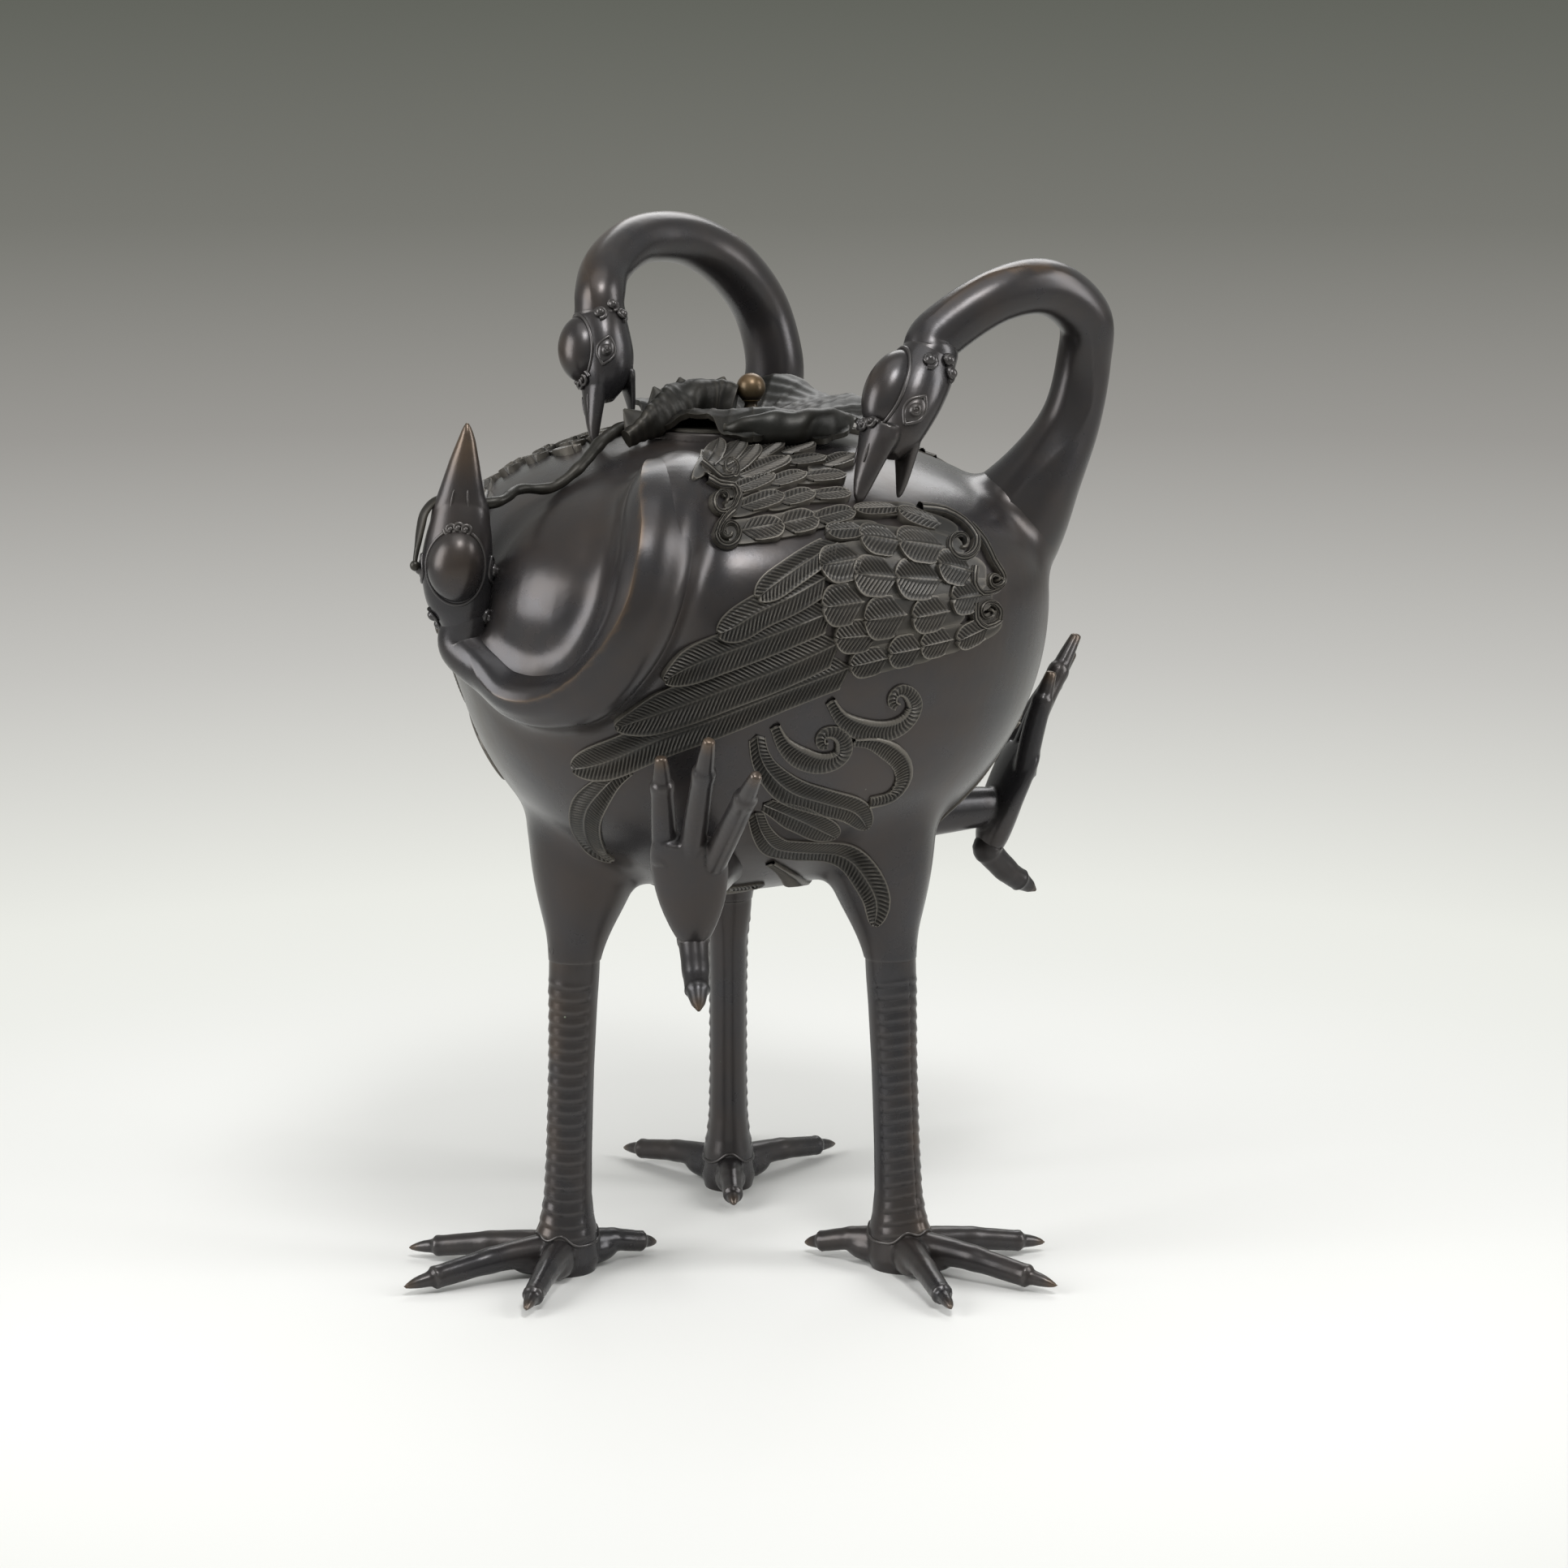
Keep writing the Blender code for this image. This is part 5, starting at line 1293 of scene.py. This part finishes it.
def make_foot(crane, facing):
    """Four toes and the webs between them, run together round the ankle and flat underneath."""
    azimuth = facing + LEG_TURN
    base = leg_centre(facing, 0.0)
    path = [leg_centre(facing, row[0]) for row in ANKLE]
    last = len(ANKLE) - 1
    form = tube(path, lambda share, turn: ANKLE[round(share * last)][1:], 32, outward(azimuth + 90))
    tips = []
    for turn, reach, thick in TOES:
        way = outward(azimuth + turn)
        start = base + way * 0.006 + UP * (thick + 0.0045)
        end = base + way * reach + UP * 0.0052
        tips.append(end)
        join(form, toe_form(start, end, thick, 0.0030, UP))
        axes = (way, way.cross(UP), UP)
        join(form, egg(base + way * 0.015 + UP * 0.008, axes, (0.014, 0.0080, 0.0074), 20, 12))
    bm = melt(form, 0.0010, 3)
    cut_below(bm, 0)
    join(bm, ankle_seam(facing, BVHTree.FromBMesh(bm)))
    piece(bm, f"{crane}_foot_casting", "patinated_bronze", stands_for=(f"{crane}_foot",),
          rub=claw_rub(tips))


def ankle_seam(facing, tree):
    """The solder seam round the ankle, drawn up over each toe."""
    points = []
    for k in range(73):
        turn = 5.0 * k
        rise = sum(math.exp(-(gap_of(turn, toe[0]) / 22.0) ** 2) for toe in TOES)
        z = 0.0150 + 0.0055 * rise
        centre = leg_centre(facing, z)
        way = outward(facing + LEG_TURN + turn)
        hit = tree.ray_cast(centre, way)[0]
        swell = table(z, LEG_SWELLS)
        angle = math.radians(turn)
        round_leg = 1.0 / math.hypot(math.sin(angle) / (LEG_ACROSS * swell),
                                     math.cos(angle) / (LEG_RADIAL * swell))
        reach = max((hit - centre).length if hit else 0.0, round_leg)
        points.append(centre + way * (reach + 0.0001))
    path = smooth_path(points, 2)
    return round_bar(path, [WELT] * len(path), 8)


# Raised feet: the height and the distance from the axis at which the shank meets the palm
SHANK_Z = 0.197
PALM_OUT = 0.142
# Tips of the toes: turn from the foot's azimuth, distance from the axis, height
HIND_TOE_TIP = (2.1, 0.168, 0.1585)
FRONT_TOES = ((-3.5, 0.1673, 0.272), (4.3, 0.1943, 0.285), (10.1, 0.2062, 0.272))
# The palm from the heel to the root of the toes: share, half width, half depth
PALM = ((0.00, 0.0078, 0.0066), (0.12, 0.0108, 0.0078), (0.30, 0.0142, 0.0080),
        (0.50, 0.0164, 0.0074), (0.75, 0.0176, 0.0066), (0.92, 0.0166, 0.0058),
        (1.00, 0.0145, 0.0050))
# Radius of the shank from the belly to the palm, and of the hind toe from its root to its claw
SHANK = ((0.0, 0.0210), (0.3, 0.0150), (0.6, 0.0118), (0.85, 0.0098), (1.0, 0.0080))
HIND_TOE = ((0.0, 0.0068), (0.07, 0.0076), (0.12, 0.0075), (0.16, 0.0068), (0.32, 0.0064),
            (0.44, 0.0064), (0.50, 0.0062), (0.56, 0.0058), (0.68, 0.0056), (0.73, 0.0058),
            (0.76, 0.0048), (0.90, 0.0032), (1.0, 0.0008))


def make_raised_foot(crane):
    """A lifted foot like an upright hand, on a short shank out of the belly."""
    azimuth = CRANES[crane] + RAISED_TURNS[crane]
    out, side = outward(azimuth), outward(azimuth + 90)
    heel = polar(azimuth, PALM_OUT - 0.0032, SHANK_Z - 0.012)
    crown = polar(azimuth, PALM_OUT + 0.016, SHANK_Z + 0.036)
    sole = side.cross((crown - heel).normalized())
    if sole.dot(out) < 0:
        sole.negate()
    shares, wides, deeps = zip(*PALM)
    path = smooth_path([heel.lerp(crown, share) - sole * (0.002 * math.sin(math.pi * share))
                        for share in shares], 3)
    halves = list(zip(smooth_path(wides, 3), smooth_path(deeps, 3)))
    last = len(path) - 1
    form = tube(path, lambda share, turn: halves[round(share * last)], 32, side)
    inner = polar(azimuth, bowl_radius(azimuth, SHANK_Z) - 0.020, SHANK_Z + 0.012)
    outer = heel.lerp(crown, 0.42)
    shank = smooth_path([inner, inner.lerp(outer, 0.5) - UP * 0.002, outer], 6)
    radii = [table(k / 12, SHANK) for k in range(13)]
    join(form, round_bar(shank, radii, 28, side))
    tips = []
    for i, (turn, reach, height) in enumerate(FRONT_TOES):
        root = crown.lerp(heel, 0.24) + side * (0.0108 * (i - 1))
        tip = polar(azimuth + turn, reach, height)
        tips.append(tip)
        join(form, toe_form(root, tip, 0.0053, 0.002, out * -1, RAISED_TOE))
    down = (heel - crown).normalized()
    turn, reach, height = HIND_TOE_TIP
    tips.append(polar(azimuth + turn, reach, height))
    hind = hind_toe_form(heel - down * 0.002, tips[-1], down)
    for bm, node in ((melt(form, 0.0010, 2), f"{crane}_raised_foot"), (hind, f"{crane}_hind_toe")):
        piece(bm, node + "_casting", "patinated_bronze", stands_for=(node,), rub=claw_rub(tips))


def hind_toe_form(start, tip, down):
    """The hind toe, which goes down from the heel and then bends out to its claw."""
    bend = start + down * 0.004
    points = [start, bend, bend.lerp(tip, 0.25) + down * 0.0016, bend.lerp(tip, 0.5) + down * 0.002,
              bend.lerp(tip, 0.75) + down * 0.001, tip]
    path = even_path(smooth_path(points, 6), 40)
    return round_bar(path, [table(k / 40, HIND_TOE) for k in range(41)], 28)


# Lid

LEAF_X, LEAF_Y = 0.010, -0.002
LEAF_R = 0.0535
LEAF_SEAT = 0.4019
LEAF_THICK = 0.0026
LEAF_WAVES = 7
LEAF_TUCK = 325.0        # azimuth at which the leaf's edge is drawn in


def leaf_height(reach, turn):
    """Rise of the leaf over its seat. The back edge stands up in waves, the front rolls down."""
    share = reach / LEAF_R
    front = max(math.cos(turn), 0.0) ** 0.8
    back = max(-math.cos(turn), 0.0) ** 0.6
    wave = math.sin(LEAF_WAVES * turn + 0.6) + 0.5 * math.sin(4 * turn + 2.0)
    rise = 0.0030 * wave * ease(share, 0.45, 1.0) * (0.4 + 0.6 * back)
    rise += 0.0110 * back * ease(share, 0.30, 1.05)
    roll = 0.0068 * math.exp(-((share - 0.74) / 0.17) ** 2)
    rise += front * (roll - 0.0060 * ease(share, 0.86, 1.02))
    return rise


def leaf_veins(reach, turn):
    """Rise of the veins, which fork halfway out, and the fine unevenness between them."""
    share = reach / LEAF_R
    count = 13 if share < 0.5 else 26
    gap = abs((turn * count / (2 * math.pi) + 0.5) % 1.0 - 0.5) / count * 2 * math.pi * reach
    ridge = 0.0005 * math.exp(-(gap / 0.0010) ** 2) * ease(share, 0.08, 0.2)
    ripple = 0.00020 * math.sin(reach * 900.0 + 3.0 * math.sin(5 * turn))
    return ridge + ripple * ease(share, 0.3, 0.6)


def make_leaf():
    """The leaf's blade. Over the collar it never dips under its seat."""
    def place(u, v):
        turn = 2 * math.pi * u
        scallop = 1.0 + 0.05 * v * math.cos(LEAF_WAVES * turn + 0.8) + 0.02 * v * math.cos(21 * turn)
        beside = math.degrees(turn) - LEAF_TUCK
        reach = LEAF_R * v * scallop * (1.0 - 0.12 * v * math.exp(-(beside / 26.0) ** 2))
        spot = Vector((LEAF_X, LEAF_Y, 0)) + outward(math.degrees(turn)) * reach
        clear = ease(spot.xy.length, COLLAR_R - 0.006, COLLAR_R + 0.006)
        rise = leaf_height(reach, turn)
        if rise < 0:
            rise *= clear
        spot.z = LEAF_SEAT + LEAF_THICK + rise + leaf_veins(reach, turn)
        return spot
    bm = surface(216, 44, place)
    bmesh.ops.recalc_face_normals(bm, faces=bm.faces)
    bmesh.ops.solidify(bm, geom=bm.faces[:], thickness=LEAF_THICK)
    return bm


# The rolled lobe: pixels along it and its radius. Its folds: share along it, rise and lean.
LOBE = ((905, 512, 0.0085), (880, 512, 0.0105), (850, 516, 0.0112), (820, 524, 0.0092),
        (795, 533, 0.0066), (772, 541, 0.0040))
LOBE_FOLDS = ((0.12, 0.007, 0.3), (0.40, 0.0075, -0.2), (0.64, 0.009, -0.4), (0.88, 0.007, -0.7))
FOLD_SIZES = (0.0086, 0.0056, 0.0022, 0.0005)
ROLL_STEPS = 60


def fold_half(share, turn):
    """A fold's point is flat: its size goes down in four steps."""
    size = FOLD_SIZES[round(share * 3)]
    return size, size * 0.35


def make_lobe():
    """The leaf's left side, rolled into a scroll with pointed folds."""
    points = [on_skin(column, row + 14) + UP * (radius + 0.0015) for column, row, radius in LOBE]
    path = even_path(smooth_path(points, 6), ROLL_STEPS)
    radii = even_values(smooth_path([radius for column, row, radius in LOBE], 6), ROLL_STEPS)

    def half(share, turn):
        i = round(share * ROLL_STEPS)
        fold = 0.10 * math.cos(3 * turn + 9 * share) + 0.05 * math.sin(26 * share + 2 * turn)
        return radii[i] * 1.05 * (1 + fold), radii[i] * 0.78 * (1 + fold)
    bm = tube(path, half, 48, UP)
    for share, rise, lean in LOBE_FOLDS:
        i = round(share * ROLL_STEPS)
        root = path[i] + UP * (radii[i] * 0.45)
        tip = root + UP * rise + Vector((lean * 0.01, 0.003, 0))
        points = [root, root.lerp(tip, 0.4), root.lerp(tip, 0.8), tip]
        join(bm, tube(points, fold_half, 14, X_AXIS))
    return bm


def make_cuff():
    """The leaf's front edge, rolled down in a thick fold with a few creases."""
    middle = Vector((LEAF_X, LEAF_Y, LEAF_SEAT))
    points = [middle + outward(azimuth) * (LEAF_R - 0.0045) + UP * 0.0012
              for azimuth in (-16, -5, 7, 20, 33, 46, 59, 72)]
    path = even_path(smooth_path(points, 6), ROLL_STEPS)

    def half(share, turn):
        body = 0.0084 * math.sqrt(math.sin(math.pi * min(max(share, 0.03), 0.97)))
        fold = 0.12 * math.cos(2 * turn + 14 * share) + 0.10 * math.sin(30 * share + turn)
        return body * 0.72 * (1 + fold), body * (1 + 0.6 * fold)
    return tube(path, half, 48, outward(-8))


def lathe(profile, centre, around):
    """Turn a profile of (radius, height) pairs, from one pole to the other, round a vertical axis."""
    last = len(profile) - 1

    def place(u, v):
        radius, z = profile[round(v * last)]
        angle = 2 * math.pi * u
        return centre + Vector((radius * math.cos(angle), radius * math.sin(angle), z))
    return surface(around, last, place)


def make_lid():
    """The leaf, the flange that drops into the mouth, the knob and the rivet through all three."""
    leaf = join(make_leaf(), make_lobe(), make_cuff())
    piece(leaf, "lid_leaf_casting", "leaf_bronze", "lid", ("lid_leaf",))
    outer, wall, plate = MOUTH_R - 0.0009, 0.0024, 0.0016
    low, seat = RIM_Z - COLLAR_DEPTH, RIM_Z + 0.0003
    profile = ((0.0, seat + plate), (COLLAR_R - 0.0036, seat + plate),
               (COLLAR_R - 0.003, seat + plate - 0.0006), (COLLAR_R - 0.003, seat), (outer, seat),
               (outer, low), (outer - 0.0005, low - 0.0004), (outer - wall, low),
               (outer - wall, seat), (0.0, seat))
    piece(lathe(profile, Vector(), 96), "lid_flange_casting", "leaf_bronze", "lid",
          ("lid_flange",), sharp=35.0)
    centre = Vector((LEAF_X, LEAF_Y, LEAF_SEAT + 0.0027))
    stem = ((0.0, 0.0), (0.0056, 0.0), (0.0052, 0.0012), (0.0036, 0.0028), (0.0030, 0.0048),
            (0.0034, 0.0060), (0.0048, 0.0068))
    radius, middle = 0.0069, 0.0124
    ball = [(radius * math.sin(math.radians(a)), middle - radius * math.cos(math.radians(a)))
            for a in range(40, 181, 10)]
    piece(lathe(list(stem) + ball, centre, 48), "lid_knob_turning", "rubbed_bronze", "lid",
          ("lid_knob",),
          rub=lambda place, normal: 0.5 * ease(place.z, centre.z + 0.010, centre.z + 0.018))
    head, end = RIM_Z - 0.0015, centre.z + 0.004
    rivet = ((0.0, head), (0.0036, head), (0.0040, head + 0.0004), (0.0040, RIM_Z),
             (0.0020, RIM_Z), (0.0020, end), (0.0, end))
    piece(lathe(rivet, Vector((LEAF_X, LEAF_Y, 0)), 24), "lid_rivet_turning", "rubbed_bronze",
          "lid", ("lid_rivet",))


# Lotus stem

STEM_BITE = (0.0520, 0.0, -0.003)   # in the front head's frame
# Where the beak holds it: x, y and z from the bite, and the radius
STEM_NEAR = ((-0.0100, -0.0060, -0.0030, 0.0022), (0.0, 0.0, 0.0015, 0.0028),
             (0.0150, 0.0020, 0.0034, 0.0024))
# From there on: azimuth, distance outside the breast radius, height over the crown, radius
STEM_RUN = ((-49.3, -0.0237, -0.0195, 0.0024), (-47.1, -0.0393, -0.0195, 0.0025),
            (-46.3, -0.0554, -0.0112, 0.0027), (-50.2, -0.0728, -0.0022, 0.0029),
            (-55.8, -0.0869, 0.0015, 0.0030), (-59.5, -0.1000, 0.0040, 0.0031))
STEM_STEPS, DROOP_STEPS = 110, 30
# The thin leaf that droops beside the beak, as pixels of the photograph, and its half width
DROOP = ((547, 612), (535, 617), (523, 632), (518, 652), (515, 670), (512, 687), (511, 697))
DROOP_WIDTHS = ((0.0, 0.0014), (0.2, 0.0030), (0.45, 0.0034), (0.65, 0.0026), (0.80, 0.0015),
                (1.0, 0.0012))


def make_stem():
    """The stem across the front crane's beak, and the leaf that droops from it to a bud."""
    bite = head_matrix("front") @ Vector(STEM_BITE)
    points = [bite + Vector(row[:3]) for row in STEM_NEAR]
    points += [polar(row[0], BREAST_R + row[1], CROWN_Z + row[2]) for row in STEM_RUN]
    radii = [row[3] for row in STEM_NEAR + STEM_RUN]
    path = even_path(smooth_path(points, 8), STEM_STEPS)
    sizes = even_values(smooth_path(radii, 8), STEM_STEPS)
    sizes = [size * (1.0 + 0.10 * math.sin(k * 0.55) * math.sin(k * 0.17))
             for k, size in enumerate(sizes)]
    bm = round_bar(path, sizes, 16)
    blade = []
    for k, (column, row) in enumerate(DROOP):
        start, way = photo_ray(column, row)
        blade.append(start + way * ((bite.y - 0.0010 - 0.0007 * k - start.y) / way.y))
    blade = even_path(smooth_path(blade, 5), DROOP_STEPS)

    def half(share, turn):
        return table(share, DROOP_WIDTHS), 0.0014 * (0.6 + 0.4 * math.sin(math.pi * share))
    join(bm, tube(blade, half, 20, Vector((0.9, -0.4, 0.0))))
    join(bm, egg(blade[-1], (X_AXIS, Y_AXIS, UP), (0.0022, 0.0022, 0.0024), 14, 10))
    piece(bm, "lotus_stem_casting", "leaf_bronze", stands_for=("lotus_stem",))


def finish_pins():
    """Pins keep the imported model's own meshes, in the finish of the castings that they hold."""
    for crane in CRANES:
        for pin in ("neck_pin", "leg_pin", "raised_pin"):
            node = bpy.data.objects[f"{crane}_{pin}"]
            node.data.materials.clear()
            node.data.materials.append(FINISHES["patinated_bronze"])


# Studio

# Painted falloff of the sweep: its brightness against 1.9 m / (1.9 m + the distance), from the
# horizon to the object, standing in for light dropping off across a lit sweep
SWEEP_DEPTH = 1.9
SWEEP = ((0.0, "60625b"), (0.18, "777771"), (0.34, "9a9894"), (0.52, "c5c4c0"), (0.70, "ebece6"),
         (0.90, "f7f8f5"))
SWEEP_START, SWEEP_FULL = 0.32, 0.62    # the lit floor near the object gives way to it between


def make_floor():
    """A pale floor out to the horizon. Far off, camera and glossy rays see an emitted, painted
    falloff that darkens to grey, standing in for the light dropping off across a lit studio sweep.
    """
    bm = bmesh.new()
    bmesh.ops.create_circle(bm, cap_ends=True, radius=160.0, segments=96)
    mesh = mesh_of(bm, "floor")
    floor = put("floor", mesh)
    material = bpy.data.materials.new("studio_sweep_painted_falloff")
    material.use_nodes = True
    tree = material.node_tree
    shader = tree.nodes["Principled BSDF"]
    shader.inputs["Base Color"].default_value = linear("d8d8d6")
    shader.inputs["Roughness"].default_value = 0.9
    shader.inputs["Specular IOR Level"].default_value = 0.1
    place = add(tree, "ShaderNodeTexCoord").outputs["Object"]
    reach = add(tree, "ShaderNodeVectorMath", {0: place}, operation="LENGTH").outputs["Value"]
    total = maths(tree, "ADD", reach, SWEEP_DEPTH)
    depth = maths(tree, "DIVIDE", SWEEP_DEPTH, total)
    ramp = add(tree, "ShaderNodeValToRGB", {"Fac": depth})
    ramp.color_ramp.elements[0].color = linear(SWEEP[0][1])
    ramp.color_ramp.elements[1].position = SWEEP[-1][0]
    ramp.color_ramp.elements[1].color = linear(SWEEP[-1][1])
    for position, colour in SWEEP[1:-1]:
        ramp.color_ramp.elements.new(position).color = linear(colour)
    # Painted falloff: an emitted grey-to-white ramp stands in for how light drops off across the
    # sweep far from the object
    glow = add(tree, "ShaderNodeEmission", {"Color": ramp.outputs["Color"], "Strength": 1.0})
    rays = add(tree, "ShaderNodeLightPath")
    seen = maths(tree, "MAXIMUM", rays.outputs["Is Camera Ray"], rays.outputs["Is Glossy Ray"])
    far = times(tree, remap(tree, reach, SWEEP_START, SWEEP_FULL), seen)
    mix = add(tree, "ShaderNodeMixShader", {0: far, 1: shader.outputs[0], 2: glow.outputs[0]})
    tree.links.new(mix.outputs[0], tree.nodes["Material Output"].inputs["Surface"])
    mesh.materials.append(material)


LAMP_TARGET_Z = 0.28     # the middle of the burner
# Name, azimuth, elevation, distance, width, height and power of each softbox
LAMPS = (("left_softbox", -68, 18, 1.5, 0.8, 1.1, 18), ("right_softbox", 78, 22, 1.7, 0.6, 1.2, 16),
         ("front_softbox", 14, 56, 1.7, 0.42, 0.42, 14), ("top_softbox", 0, 76, 1.5, 1.1, 1.0, 5),
         ("back_softbox", 170, 40, 1.9, 1.2, 0.8, 12))


def make_lamp(name, azimuth, elevation, distance, width, height, power):
    """A softbox that faces the middle of the burner."""
    target = AXIS + Vector((0, 0, LAMP_TARGET_Z))
    rise = math.radians(elevation)
    place = target + outward(azimuth) * (distance * math.cos(rise)) + UP * (distance * math.sin(rise))
    data = bpy.data.lights.new(name, "AREA")
    data.shape = "RECTANGLE"
    data.size = width
    data.size_y = height
    data.energy = power
    lamp = put(name, data)
    lamp.location = place
    lamp.rotation_euler = (place - target).to_track_quat("Z", "Y").to_euler()


def make_studio():
    """Floor, softboxes, and a pale surrounding that the camera itself sees as grey."""
    make_floor()
    for lamp in LAMPS:
        make_lamp(*lamp)
    world = bpy.data.worlds.new("studio")
    world.use_nodes = True
    tree = world.node_tree
    ground = tree.nodes["Background"]
    ground.inputs["Color"].default_value = linear("b9bab6")
    ground.inputs["Strength"].default_value = 0.75
    sky = add(tree, "ShaderNodeBackground", {"Color": linear("64665f"), "Strength": 1.0})
    rays = add(tree, "ShaderNodeLightPath")
    mix = add(tree, "ShaderNodeMixShader", {0: rays.outputs["Is Camera Ray"], 1: ground.outputs[0],
                                            2: sky.outputs[0]})
    tree.links.new(mix.outputs[0], tree.nodes["World Output"].inputs["Surface"])
    bpy.context.scene.world = world
    bpy.context.scene.view_settings.view_transform = "Standard"


def make_camera():
    """The photograph's view, as it was fitted to the ends of the toes."""
    data = bpy.data.cameras.new("camera")
    data.sensor_width = SENSOR
    data.lens = FOCAL_PIXELS / PHOTO_SIDE * SENSOR
    camera = put("camera", data)
    camera.location = CAMERA_PLACE + AXIS
    camera.rotation_euler = CAMERA_TURN
    bpy.context.scene.camera = camera


make_camera()
make_studio()
for crane, facing in CRANES.items():
    make_neck(crane)
    make_head(crane)
    make_leg(crane, facing)
    make_foot(crane, facing)
    make_raised_foot(crane)
    make_long_wing(crane, facing)
    make_short_wing(crane, facing)
    make_plumes(crane, facing)
make_lid()
make_stem()
finish_pins()
make_vessel(SKIN)
